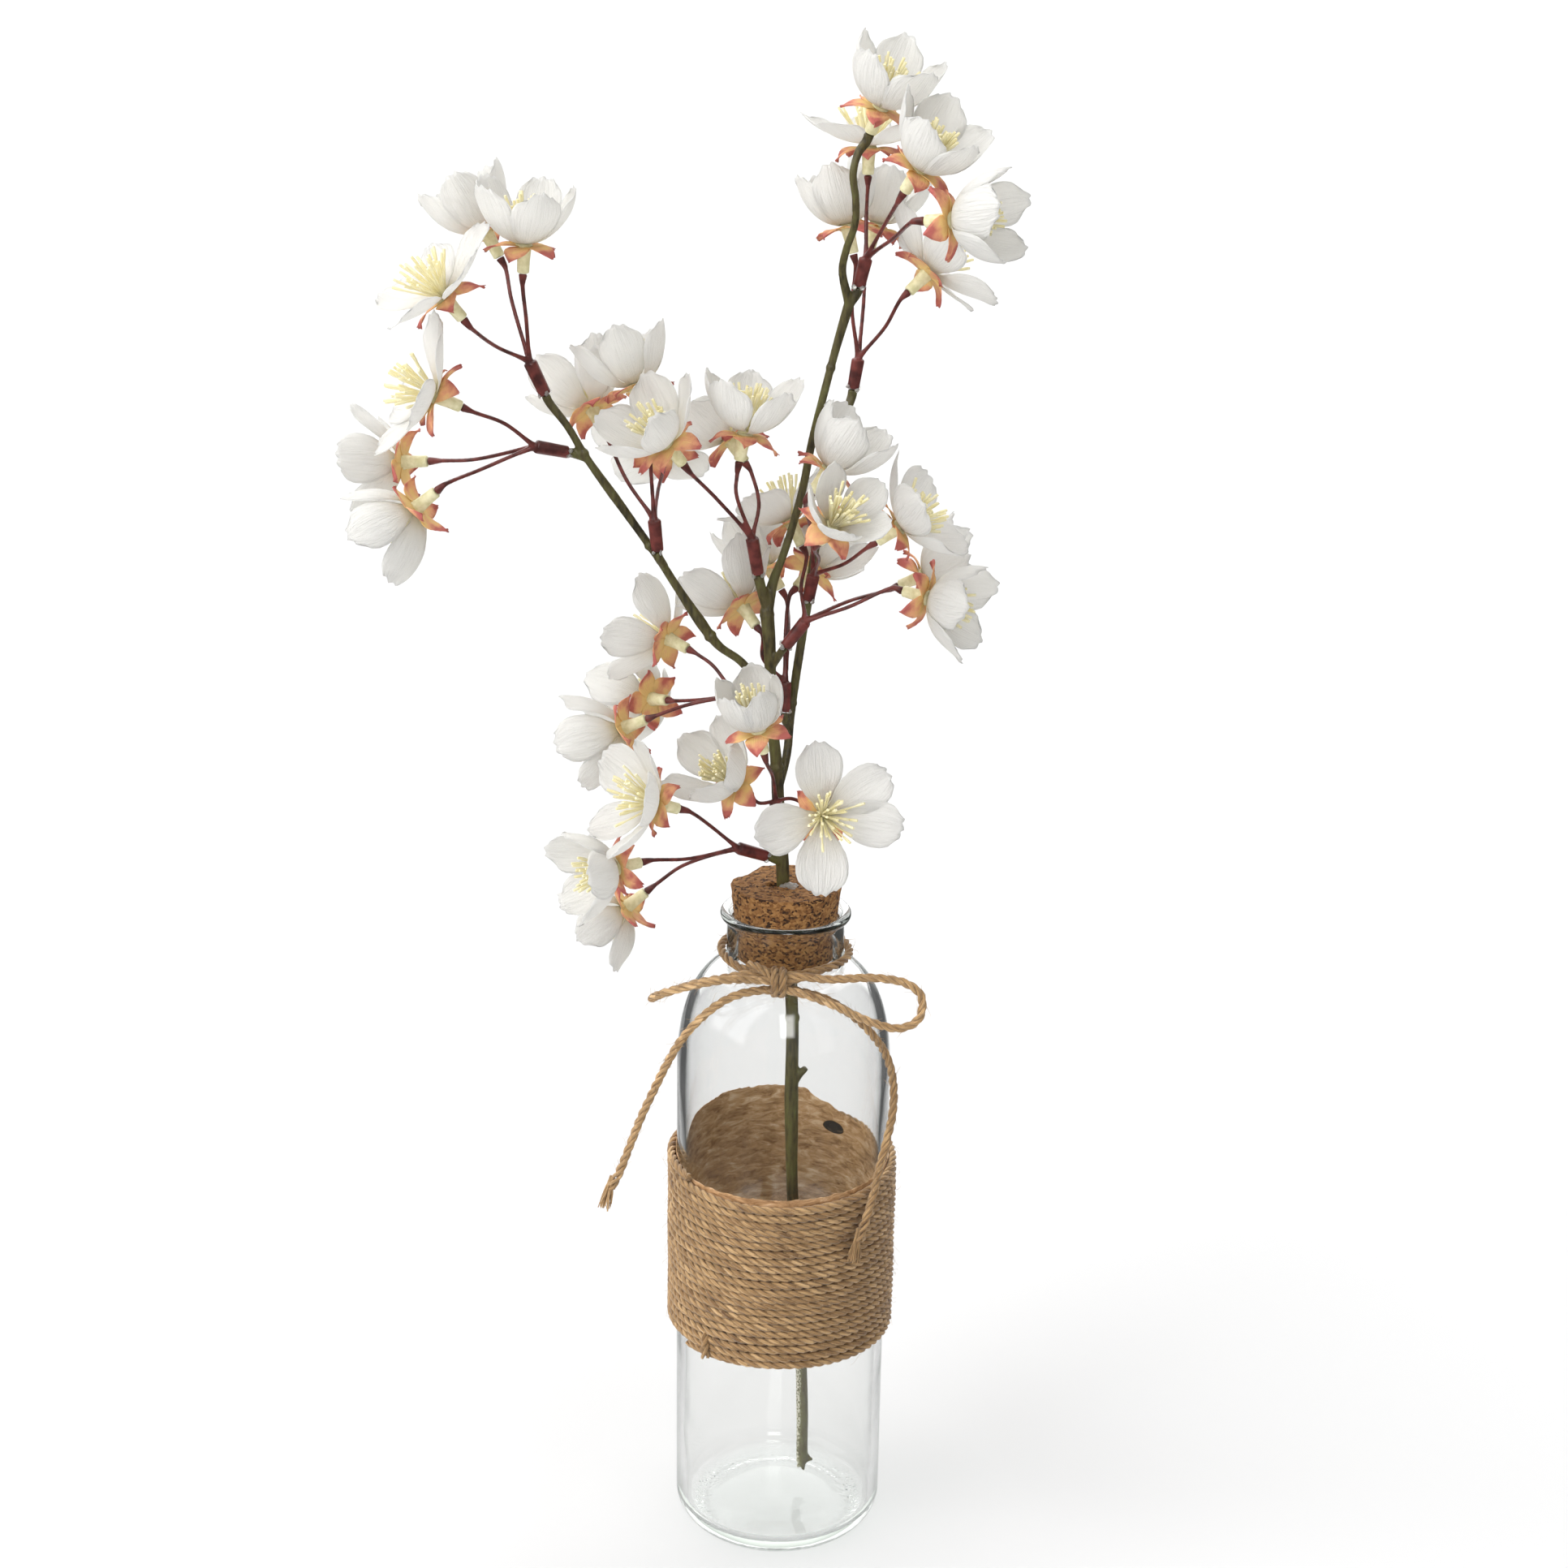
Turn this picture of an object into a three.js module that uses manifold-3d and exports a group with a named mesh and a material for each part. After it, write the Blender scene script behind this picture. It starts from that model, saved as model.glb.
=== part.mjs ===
// Artificial cherry blossom branch held by a cork in a clear glass bottle wound with jute twine.
// Millimetres, +Z up. The origin is the centre of the bottle's underside, and the bow faces -Y.
import * as THREE from 'three';
import { mergeVertices } from 'three/addons/utils/BufferGeometryUtils.js';
import Module from 'manifold-3d';

const wasm = await Module();
wasm.setup();

// Driving sizes
const GAP = 0.3;
const GLASS = {
  radius: 38, wall: 3, floor: 6, heel: 10, shoulderFoot: 180, shoulderRise: 43,
  shoulderCore: 14, roundness: 2.4, neck: 20.6, bore: 18.1, neckTop: 236.5,
  beadCentre: 21.3, bead: 1.6, beadHeight: 239.8,
};
const CORK = { top: 250.5, bottom: 224, topRadius: 19.3, bottomRadius: 16.6, chamfer: 0.6 };
const TWINE = 1.55;
const WRAP = { bottom: 80, top: 150, outer: 41.2, round: 1 };
const NECK_TURN = { height: 226, radius: GLASS.neck + GAP + TWINE };
const KNOT = { centre: [-2, -27, 224.5], size: [3.6, 4.2, 5] };
const SLEEVE = { foot: 2.1, head: 2.3 };
const FLOWER = {
  petals: 5, petalLength: 22.5, petalThickness: 1.2, notch: 0.72, throat: 2.6, firstLean: 80,
  tube: 9, tubeFoot: 1.9, tubeHead: 2.3, stamenReach: 11, stamenRadius: 4.5,
};

const DEGREE = Math.PI / 180;
const vector = (point) => new THREE.Vector3(...point);

const paint = (color, roughness, more = {}) =>
  new THREE.MeshStandardMaterial({ color, roughness, metalness: 0, ...more });
const MATERIALS = {
  glass: paint('#dfe7e4', 0.05, { transparent: true, opacity: 0.35 }),
  cork: paint('#a8733f', 0.9),
  jute: paint('#b98f5c', 0.95),
  bark: paint('#4f4a2c', 0.5),
  sleeve: paint('#5f2f2c', 0.4),
  blossom: paint('#f1efe6', 0.85),
};

const model = new THREE.Group();

function place(name, geometry, material) {
  const mesh = new THREE.Mesh(geometry, material);
  mesh.name = name;
  model.add(mesh);
  return mesh;
}

// Closed meshes as solids, so that they can be joined and cut
function solid(geometry) {
  const bare = geometry.clone();
  bare.deleteAttribute('normal');
  bare.deleteAttribute('uv');
  const merged = mergeVertices(bare, 1e-4);
  const vertProperties = new Float32Array(merged.attributes.position.array);
  const triVerts = new Uint32Array(merged.index.array);
  return new wasm.Manifold(new wasm.Mesh({ numProp: 3, vertProperties, triVerts }));
}

function geometryOf(body) {
  const mesh = body.getMesh();
  const geometry = new THREE.BufferGeometry();
  geometry.setAttribute('position', new THREE.BufferAttribute(mesh.vertProperties, 3));
  geometry.setIndex(new THREE.BufferAttribute(mesh.triVerts, 1));
  geometry.computeVertexNormals();
  return geometry;
}

const joined = (geometries) => geometryOf(
  geometries.map(solid).reduce((whole, piece) => whole.add(piece)),
);
const cut = (geometry, ...tools) => geometryOf(
  tools.map(solid).reduce((rest, tool) => rest.subtract(tool), solid(geometry)),
);

// A round limb along a smooth route. Its radii are spaced evenly along its length.
function limb(route, radii, { sides = 8, steps = 2 * route.length, grow = 0 } = {}) {
  const curve = new THREE.CatmullRomCurve3(route.map(vector), false, 'centripetal');
  const { normals, binormals } = curve.computeFrenetFrames(steps);
  const positions = [];
  const indices = [];
  for (let i = 0; i <= steps; i++) {
    const along = (i / steps) * (radii.length - 1);
    const before = Math.min(Math.floor(along), radii.length - 2);
    const radius = THREE.MathUtils.lerp(radii[before], radii[before + 1], along - before) + grow;
    const centre = curve.getPointAt(i / steps);
    for (let j = 0; j < sides; j++) {
      const angle = (2 * Math.PI * j) / sides;
      const rim = centre.clone()
        .addScaledVector(normals[i], radius * Math.cos(angle))
        .addScaledVector(binormals[i], radius * Math.sin(angle));
      positions.push(rim.x, rim.y, rim.z);
    }
  }
  const ring = (i, j) => i * sides + (j % sides);
  for (let j = 0; j < sides; j++) {
    for (let i = 0; i < steps; i++) {
      indices.push(ring(i, j), ring(i, j + 1), ring(i + 1, j));
      indices.push(ring(i, j + 1), ring(i + 1, j + 1), ring(i + 1, j));
    }
    if (j > 0 && j < sides - 1) {
      indices.push(ring(0, 0), ring(0, j + 1), ring(0, j));
      indices.push(ring(steps, 0), ring(steps, j), ring(steps, j + 1));
    }
  }
  const geometry = new THREE.BufferGeometry();
  geometry.setAttribute('position', new THREE.Float32BufferAttribute(positions, 3));
  geometry.setIndex(indices);
  geometry.computeVertexNormals();
  return geometry;
}

const turned = (outline, segments) => new THREE.LatheGeometry(
  outline.map(([radius, height]) => new THREE.Vector2(radius, height)), segments,
).rotateX(Math.PI / 2);

function arc(centreRadius, centreHeight, radius, from, to, steps) {
  return Array.from({ length: steps + 1 }, (_, i) => {
    const angle = (from + ((to - from) * i) / steps) * DEGREE;
    return [centreRadius + radius * Math.cos(angle), centreHeight + radius * Math.sin(angle)];
  });
}

// Glass bottle: one turned wall with a heavy floor, a full round shoulder and a rolled bead
function shoulder(outer, rise, top, steps) {
  const span = outer - GLASS.shoulderCore;
  const end = Math.pow(1 - Math.pow((top - GLASS.shoulderCore) / span, GLASS.roundness),
    1 / GLASS.roundness);
  return Array.from({ length: steps + 1 }, (_, i) => {
    const up = end * Math.sin((i / steps) * 90 * DEGREE);
    const out = Math.pow(1 - Math.pow(up, GLASS.roundness), 1 / GLASS.roundness);
    return [GLASS.shoulderCore + span * out, GLASS.shoulderFoot + rise * up];
  });
}

function bottleOutline() {
  const inner = GLASS.radius - GLASS.wall;
  const innerHeel = GLASS.heel - 1;
  return [
    [0, 0],
    ...arc(GLASS.radius - GLASS.heel, GLASS.heel, GLASS.heel, -90, 0, 4),
    ...shoulder(GLASS.radius, GLASS.shoulderRise, GLASS.neck, 6),
    [GLASS.neck, GLASS.neckTop],
    ...arc(GLASS.beadCentre, GLASS.beadHeight, GLASS.bead, -60, 180, 5),
    [GLASS.bore, GLASS.neckTop],
    ...shoulder(inner, GLASS.shoulderRise - GLASS.wall, GLASS.bore, 4).reverse(),
    ...arc(inner - innerHeel, GLASS.floor + innerHeel, innerHeel, 0, -90, 3),
    [0, GLASS.floor],
  ];
}

place('glass_bottle', turned(bottleOutline(), 32), MATERIALS.glass);

// Branch routes, from the foot up. The left and back branches leave the main stem.
const TRUNK = [
  [9.5, 2, 14], [8.5, 2, 55], [4, 1, 130], [3, 0, 170], [3, 0, 195], [2, 0, 214], [-1, 0, 249],
  [-1.5, 0, 259], [-3, 0, 277], [-4, 0, 294], [-6, 0, 312], [-6.5, 0, 327], [-7, -1, 338],
  [-8, -1, 349],
];
const TRUNK_RADII = [2.2, 2.3, 2.2, 2.3, 2.2, 2.6, 2.3, 2.4, 2.4, 2.2, 1.85, 2.5];
const CENTRE = [
  [-8, -1, 348], [-6, 0, 358], [-2.5, 0, 368], [0.5, 1, 378], [3.5, 1, 390], [6, 2, 404],
  [9, 2, 417.5], [13.5, 2, 436], [17.5, 0, 451],
];
const LEFT = [
  [-6, 0, 315], [-9.5, -1, 322], [-16.5, -2, 331], [-24, -4, 337], [-31, -6, 347],
  [-39, -7, 359.5], [-43.5, -8, 367], [-55, -10, 384], [-67, -12, 401.5], [-73, -13, 412],
  [-79, -14, 420],
];
const BACK = [
  [-3.5, 0.5, 284], [-0.5, 5, 296], [0.5, 10, 307.5], [2, 11, 320.5], [4, 11, 335.5],
  [6, 12, 348.5], [7.5, 12, 363], [10, 12, 377], [13.5, 17, 395.5], [17, 24, 409.5],
];
const TIP = [
  [17.5, 0, 451], [15, -4, 461.5], [16, -8, 469], [18.5, -12, 477.5],
  [18.5, -14, 485.5], [17.5, -15, 493], [19, -14, 499.5],
];
const NUB = [[3.5, 0, 174], [5.5, -0.5, 178], [8, -1, 181]];

// Sprigs: the sleeve's seat on its stub and its top, then its three flowers. A flower has its
// foot, the way it faces (turn from +X towards +Y, tilt up from level, in degrees), how far its
// petals spread from its axis in degrees, and the point where its stalk bends.
const bloom = (foot, turn, tilt, spread, bend) => ({ foot, turn, tilt, spread, bend });
const SPRIGS = {
  a: { seat: [-80, -14, 422.5], top: [-84.5, -16, 433], flowers: [
    bloom([-102, -44, 450.5], -160, 50, 70, [-93.5, -28, 439.5]),
    bloom([-95, -3, 464.5], 165, 60, 30, [-90.5, -10.5, 451.5]),
    bloom([-85, -27, 462.5], -45, 85, 36, [-85, -20.5, 447.5]),
  ] },
  b: { seat: [-73, -13, 403.5], top: [-83, -17, 406], flowers: [
    bloom([-104.5, -34, 421.5], -165, 25, 70, [-92, -24, 414.5]),
    bloom([-120, -3.5, 398], 170, -5, 50, [-103, -11.5, 400.5]),
    bloom([-113, -35, 394.5], 170, -40, 42, [-100.5, -24.5, 399.5]),
  ] },
  c: { seat: [-44, -12, 371], top: [-45, -13, 381.5], flowers: [
    bloom([-63, 6, 407.5], 130, 45, 44, [-54.5, -3.5, 392.5]),
    bloom([-48, -15.5, 417], 140, 65, 34, [-46, -12.5, 396.5]),
    bloom([-44, 19, 394.5], 100, 20, 62, [-44.5, 2, 388.5]),
  ] },
  d: { seat: [-11, -4, 362], top: [-13, -7, 374.5], flowers: [
    bloom([-35, -29, 403.5], -150, 50, 42, [-25, -16, 390]),
    bloom([-17, -25, 404], 0, 80, 36, [-18, -14.5, 390]),
    bloom([-16, 6, 397.5], 150, 50, 56, [-11, -1.5, 385]),
  ] },
  e: { seat: [20.5, -0.5, 456.5], top: [22.5, -1, 465.5], flowers: [
    bloom([23, 15, 490.5], 125, 90, 68, [22.5, 5.5, 478]),
    bloom([33, -32, 489.5], -35, 55, 32, [27.5, -14, 477]),
    bloom([39, -45, 482], -25, 5, 30, [30.5, -19.5, 474]),
  ] },
  f: { seat: [20, 27, 419], top: [21.5, 27, 429], flowers: [
    bloom([37.5, 20, 452.5], 25, 40, 74, [30, 24, 440]),
    bloom([19, 26, 464], 155, 75, 30, [19, 26.5, 446]),
    bloom([25, 50, 462.5], 15, 75, 32, [23, 36.5, 444.5]),
  ] },
  g: { seat: [6, 7, 350.5], top: [7.5, 5, 359.5], flowers: [
    bloom([28, -15, 376], -5, 35, 54, [17.5, -3.5, 365.5]),
    bloom([9, -40.5, 381.5], -55, 45, 36, [9, -14, 369.5]),
    bloom([6.5, -24, 394], 5, 55, 28, [6.5, -7, 377]),
  ] },
  h: { seat: [-1.5, -4, 337], top: [5, -5, 346], flowers: [
    bloom([37.5, -3, 356.5], -20, -10, 36, [19.5, -4, 351]),
    bloom([37.5, 27, 351], -5, 25, 38, [19, 8.5, 349.5]),
    bloom([3.5, 19.5, 366.5], 150, 60, 58, [3.5, 5.5, 355]),
  ] },
  i: { seat: [-1.5, 6, 311], top: [-1.5, 8, 321], flowers: [
    bloom([-3.5, 44, 345], 150, 55, 26, [-0.5, 23, 334.5]),
    bloom([2, 22, 351], 45, 35, 34, [-1.5, 14, 338.5]),
    bloom([-11.5, 5, 341.5], 135, 40, 52, [-9, 6.5, 329.5]),
  ] },
  k: { seat: [-9.5, -3, 316], top: [-18, -6, 320], flowers: [
    bloom([-35, 11, 331.5], 145, 15, 58, [-25.5, 1, 328]),
    bloom([-42.5, 18, 311], 130, -10, 44, [-30.5, 4, 315.5]),
    bloom([-48, -12, 313], 165, -25, 38, [-33.5, -8.5, 317.5]),
  ] },
  l: { seat: [-7, -4, 262], top: [-16.5, -9, 266.5], flowers: [
    bloom([-36, -34, 289], -155, 20, 54, [-27, -19.5, 279]),
    bloom([-49, -26, 267], -165, -5, 35, [-33, -16, 265]),
    bloom([-48.5, -8, 249.5], -180, -40, 42, [-35, -8.5, 260]),
  ] },
  m: { seat: [-3.5, -6, 270.5], top: [-4, -9, 283.5], flowers: [
    bloom([-8, -34, 309], -135, 70, 38, [-5, -19.5, 295.5]),
    bloom([-12.5, -16, 287.5], -145, 40, 34, [-8, -12, 284]),
    bloom([9.5, -26, 286], -75, 10, 78, [2, -16, 287]),
  ] },
};
const TIP_FLOWER = bloom([22.5, -13, 505.5], -35, 65, 34);

function facing({ turn, tilt }) {
  const level = Math.cos(tilt * DEGREE);
  return new THREE.Vector3(
    level * Math.cos(turn * DEGREE), level * Math.sin(turn * DEGREE), Math.sin(tilt * DEGREE),
  );
}

// The last stretch of a stalk runs straight into whatever sits on its end
function runIn(end, direction, lead) {
  return [lead, GAP].map((back) => vector(end).addScaledVector(direction, -back).toArray());
}

function stub(from, letter, radius = 1.6) {
  const { seat, top } = SPRIGS[letter];
  const direction = vector(top).sub(vector(seat)).normalize();
  return limb([from, ...runIn(seat, direction, 2)], [radius * 0.9, radius, radius], { sides: 6, steps: 2 });
}

// Cork: a tapered plug bored for the stem
const corkOutline = [
  [0, CORK.bottom], [CORK.bottomRadius - CORK.chamfer, CORK.bottom],
  [CORK.bottomRadius, CORK.bottom + CORK.chamfer], [CORK.topRadius, CORK.top - CORK.chamfer],
  [CORK.topRadius - CORK.chamfer, CORK.top], [0, CORK.top],
];
const trunk = limb(TRUNK, TRUNK_RADII, { sides: 9, steps: 26 });
const trunkRoom = limb(TRUNK, TRUNK_RADII, { sides: 9, steps: 26, grow: GAP });
place('cork_stopper', cut(turned(corkOutline, 28), trunkRoom), MATERIALS.cork);

// Jute: the wound band on the body, and the turn round the neck with its knot
const wrapInner = GLASS.radius + GAP;
const wrapOutline = [
  [wrapInner, WRAP.bottom], [WRAP.outer - WRAP.round, WRAP.bottom],
  [WRAP.outer, WRAP.bottom + WRAP.round], [WRAP.outer, WRAP.top - WRAP.round],
  [WRAP.outer - WRAP.round, WRAP.top], [wrapInner, WRAP.top], [wrapInner, WRAP.bottom],
];
place('jute_wrap', turned(wrapOutline, 48), MATERIALS.jute);

const knot = (grow) => new THREE.SphereGeometry(1, 12, 8)
  .scale(...KNOT.size.map((half) => half + grow))
  .translate(...KNOT.centre);
const neckTurn = (grow) => turned(
  arc(NECK_TURN.radius, NECK_TURN.height, TWINE + grow, 0, 360, 8), 32,
);
place('neck_twine', joined([neckTurn(0), knot(0)]), MATERIALS.jute);

// The bow: routes chosen by hand from the knot outwards
const BOW = {
  bow_loop_left: [
    [-4, -29.5, 226], [-11.5, -31, 227], [-18.5, -33.5, 228], [-26.5, -34, 227], [-35, -32, 224],
    [-42, -29, 220.5], [-45.5, -25, 217], [-43.5, -21, 216.5], [-37, -20, 218.5],
    [-29.5, -21, 221.5], [-21.5, -23, 224], [-13, -25.8, 227], [-4, -26, 228],
  ],
  bow_loop_right: [
    [0, -28, 227], [6.5, -29, 227.5], [14, -29.5, 227], [21, -30, 227.5], [28, -30, 228],
    [35.5, -30, 227.5], [41.5, -30, 226], [46, -30, 222.5], [47, -30, 218], [45.5, -30, 212.5],
    [39.5, -30, 209.5], [32, -30.5, 211], [24.5, -31.5, 214.5], [19, -32, 217.5],
    [13.5, -32.2, 220], [8, -32, 222], [0, -30.5, 223.5],
  ],
  bow_tail_left: [
    [-4, -28, 222.5], [-14.5, -30, 221.5], [-21.5, -31, 218.5], [-28.5, -31, 212.5],
    [-35, -31, 204.5], [-40, -31, 195.5], [-44.5, -31, 185.5], [-49, -31, 175],
    [-52.5, -31.5, 165.5], [-56.5, -32, 154.5], [-60.5, -32, 146], [-62, -32, 140],
  ],
  bow_tail_right: [
    [0, -27, 222.5], [10.5, -28.4, 220.5], [16.5, -28.4, 218], [25, -27.5, 211.5],
    [31.5, -24, 203], [36, -19, 193.5], [38.5, -17, 183], [38.5, -20, 173], [36.5, -24, 164],
    [34, -28, 155], [32, -31, 146], [29.5, -33.5, 137.5], [26.5, -36, 129], [25.5, -37, 123],
  ],
};

for (const [name, route] of Object.entries(BOW)) {
  const extrudePath = new THREE.CatmullRomCurve3(route.map(vector), false, 'centripetal');
  const section = new THREE.Shape(Array.from({ length: 8 }, (_, i) => new THREE.Vector2(
    TWINE * Math.cos(45 * i * DEGREE), TWINE * Math.sin(45 * i * DEGREE),
  )));
  const steps = Math.ceil(extrudePath.getLength() / (5 * TWINE));
  const cord = new THREE.ExtrudeGeometry(section, { extrudePath, steps });
  place(name, cut(cord, knot(GAP), neckTurn(GAP)), MATERIALS.jute);
}

// Stems: the main stem with its stubs, and the two branches that leave it
const tipRun = runIn(TIP_FLOWER.foot, facing(TIP_FLOWER), 3);
place('main_stem', joined([
  trunk,
  limb(CENTRE, [2.3, 1.4, 1.4, 1.45, 1.4, 1.4, 1.8], { sides: 7, steps: 16 }),
  limb([...TIP, ...tipRun], [1.7, 1.35, 1.3, 1.25, 1.25, 1.3, 1.7], { sides: 7, steps: 16 }),
  limb(NUB, [1.6, 1.5, 1.2], { steps: 3 }),
  stub([-8, -1, 349], 'd', 1.8),
  stub([17.5, 0, 450.5], 'e'),
  stub([-6.3, 0, 328], 'h', 1.4),
  stub([-5.8, -0.3, 312], 'k'),
  stub([-1.5, 0, 258], 'l'),
  stub([-2.5, 0, 266], 'm'),
]), MATERIALS.bark);
place('left_branch', cut(joined([
  limb([...LEFT.slice(0, -1), ...runIn(SPRIGS.a.seat, vector(SPRIGS.a.top)
    .sub(vector(SPRIGS.a.seat)).normalize(), 3)],
  [1.5, 1.5, 1.45, 2, 1.5, 1.4, 1.4, 1.6, 1.35, 1.3, 1.5], { steps: 24 }),
  stub([-67, -12, 401.5], 'b'),
  stub([-42, -8, 365], 'c'),
]), trunkRoom), MATERIALS.bark);
place('back_branch', cut(joined([
  limb([...BACK, ...runIn(SPRIGS.f.seat, vector(SPRIGS.f.top)
    .sub(vector(SPRIGS.f.seat)).normalize(), 3)],
  [1.6, 1.55, 1.55, 1.6, 1.5, 1.5, 1.45, 1.4, 1.4, 1.7], { steps: 24 }),
  stub([4.6, 11.2, 339], 'g', 1.4),
  stub([0, 8.5, 304], 'i', 1.4),
]), trunkRoom), MATERIALS.bark);

// A sprig: a sleeve that slips over its stub, with three stalks that end in small cups
const STALK_RADII = [1.3, 0.75, 0.65, 0.65, 0.65, 0.65, 0.65, 0.65, 0.7, 1.5];

function stalk(top, root, flower) {
  const route = [root, top, flower.bend, ...runIn(flower.foot, facing(flower), 4)];
  return limb(route, STALK_RADII, { sides: 5, steps: 8 });
}

function sprig({ seat, top, flowers }) {
  const direction = vector(top).sub(vector(seat)).normalize();
  const root = vector(top).addScaledVector(direction, -2).toArray();
  return joined([
    limb([seat, top], [SLEEVE.foot, SLEEVE.head], { steps: 2 }),
    ...flowers.map((flower) => stalk(top, root, flower)),
  ]);
}

// A flower: its tube, five petals as one lobed bowl, and the tuft of stamens inside
function flowerOutline(spread, reach) {
  const lastLean = 2 * spread - FLOWER.firstLean;
  const steps = 2;
  const step = (FLOWER.petalLength * reach) / steps;
  const half = FLOWER.petalThickness / 2;
  const outside = [];
  const inside = [];
  let radius = FLOWER.throat;
  let height = FLOWER.tube + half;
  const leanAt = (i) => DEGREE
    * THREE.MathUtils.lerp(FLOWER.firstLean, lastLean, (i / steps) * reach);
  for (let i = 0; i <= steps; i++) {
    const aside = [half * Math.cos(leanAt(i)), half * Math.sin(leanAt(i))];
    outside.push([radius + aside[0], height - aside[1]]);
    inside.unshift([radius - aside[0], height + aside[1]]);
    radius += step * Math.sin(leanAt(i + 0.5));
    height += step * Math.cos(leanAt(i + 0.5));
  }
  const tuftTop = FLOWER.tube + FLOWER.stamenReach;
  return [
    [0, 0], [FLOWER.tubeFoot, 0], [FLOWER.tubeHead, FLOWER.tube - half], ...outside.slice(1),
    ...inside, [FLOWER.stamenRadius * Math.min(1, spread / 45), tuftTop - 2], [0, tuftTop],
  ].map(([r, z]) => new THREE.Vector2(r, z));
}

function flowerGeometry(spread) {
  const petal = flowerOutline(spread, 1);
  const notch = flowerOutline(spread, FLOWER.notch);
  const geometry = new THREE.LatheGeometry(petal, 2 * FLOWER.petals);
  const { position } = geometry.attributes;
  for (let i = 0; i < position.count; i++) {
    const column = Math.floor(i / petal.length);
    const { x, y } = notch[i % petal.length];
    const angle = (Math.PI * column) / FLOWER.petals;
    if (column % 2 === 1) position.setXYZ(i, x * Math.sin(angle), y, x * Math.cos(angle));
  }
  return geometry;
}

function placeFlower(name, flower) {
  const mesh = place(name, flowerGeometry(flower.spread), MATERIALS.blossom);
  mesh.quaternion.setFromUnitVectors(new THREE.Vector3(0, 1, 0), facing(flower));
  mesh.position.set(...flower.foot);
}

for (const [letter, branchlet] of Object.entries(SPRIGS)) {
  place(`sprig_${letter}`, sprig(branchlet), MATERIALS.sleeve);
  branchlet.flowers.forEach((flower, i) => placeFlower(`flower_${letter}${i + 1}`, flower));
}
placeFlower('flower_tip', TIP_FLOWER);

export default model;
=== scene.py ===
# Artificial cherry blossom branch held by a cork in a clear glass bottle wound with jute twine.
# Metres, +Z up. The origin is the centre of the bottle's underside, and the bow faces -Y.
import math
import random
from collections import namedtuple

import bmesh
import bpy
from mathutils import Matrix, Vector, geometry, kdtree, noise


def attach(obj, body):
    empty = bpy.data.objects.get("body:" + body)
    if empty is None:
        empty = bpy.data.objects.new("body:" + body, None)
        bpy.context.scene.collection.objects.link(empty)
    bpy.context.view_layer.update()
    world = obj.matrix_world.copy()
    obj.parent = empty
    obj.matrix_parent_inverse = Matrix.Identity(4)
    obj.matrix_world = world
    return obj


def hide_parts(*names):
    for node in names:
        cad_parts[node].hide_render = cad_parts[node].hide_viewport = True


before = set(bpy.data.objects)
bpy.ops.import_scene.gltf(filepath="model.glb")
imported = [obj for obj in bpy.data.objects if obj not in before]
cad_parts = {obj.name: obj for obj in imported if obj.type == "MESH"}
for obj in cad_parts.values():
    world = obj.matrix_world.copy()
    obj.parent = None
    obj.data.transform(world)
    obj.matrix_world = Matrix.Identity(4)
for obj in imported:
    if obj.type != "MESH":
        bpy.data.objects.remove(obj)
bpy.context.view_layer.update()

# Camera: a long lens at the height of the blossoms, in front of the bow and looking down at the
# bottle. Nothing is in soft focus, so the whole depth of the spray is sharp.
EYE = Vector((0, -0.82612, 0.5605))
LOOK_DOWN = math.radians(18.32)
TURN_LEFT = math.radians(0.09)
LEAN = math.radians(0.85)
LENS_MM, SENSOR_MM = 58.12, 36
camera_data = bpy.data.cameras.new("studio_camera")
camera_data.sensor_width = SENSOR_MM
camera_data.lens = LENS_MM
camera = bpy.data.objects.new("studio_camera", camera_data)
camera.matrix_world = (
    Matrix.Translation(EYE)
    @ Matrix.Rotation(TURN_LEFT, 4, "Z")
    @ Matrix.Rotation(math.pi / 2 - LOOK_DOWN, 4, "X")
    @ Matrix.Rotation(LEAN, 4, "Z")
)
bpy.context.scene.collection.objects.link(camera)
bpy.context.scene.camera = camera

# Twine: jute, three plies twisted together, 3.1 mm thick and hairy. The bow's two loops and two
# hanging tails are lengths of it that leave the knot in front of the bottle's neck. All but the
# right tail have the same twine painted paler: painted light, for the light from the front and
# above that falls on them.
MM = 0.001
TWINE = 3.1 * MM
PLY, PLY_OUT = 1.5 * MM, 0.8 * MM
TWIST_LENGTH = 11 * MM
TWIST_DRIFT, DRIFT_LENGTH = 0.35, 21 * MM
TWINE_STEP = 0.9 * MM
HAIR, HAIR_ROOT, HAIR_REACH = 0.1 * MM, 0.42 * TWINE, 3.6 * MM
CURVE_POINTS = 24
STRANDS_APART = 0.37
chance = random.Random(11)


def length_of(line):
    """A line's length along its points."""
    return sum((q - p).length for p, q in zip(line, line[1:]))


def smooth_line(route, step, closed=False):
    """Evenly spaced points on a smooth line through the route's points, which are in millimetres."""
    points = [Vector(p) * MM for p in route]
    count = len(points)
    leads = []
    for i in range(count):
        before = points[(i - 1) % count] if closed or i > 0 else points[i]
        after = points[(i + 1) % count] if closed or i < count - 1 else points[i]
        leads.append((after - before).normalized())
    fine = []
    for i in range(count if closed else count - 1):
        a, b = points[i], points[(i + 1) % count]
        reach = (b - a).length / 3
        fine += geometry.interpolate_bezier(
            a, a + leads[i] * reach, b - leads[(i + 1) % count] * reach, b, CURVE_POINTS)[:-1]
    fine.append(points[0] if closed else points[-1])
    whole = length_of(fine)
    steps = max(2, round(whole / step))
    line, gone, target = [fine[0]], 0.0, whole / steps
    for p, q in zip(fine, fine[1:]):
        piece = (q - p).length
        while piece > 0 and gone + piece >= target - 1e-9 and len(line) < steps:
            line.append(p.lerp(q, (target - gone) / piece))
            target += whole / steps
        gone += piece
    line.append(fine[-1])
    return line


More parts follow.
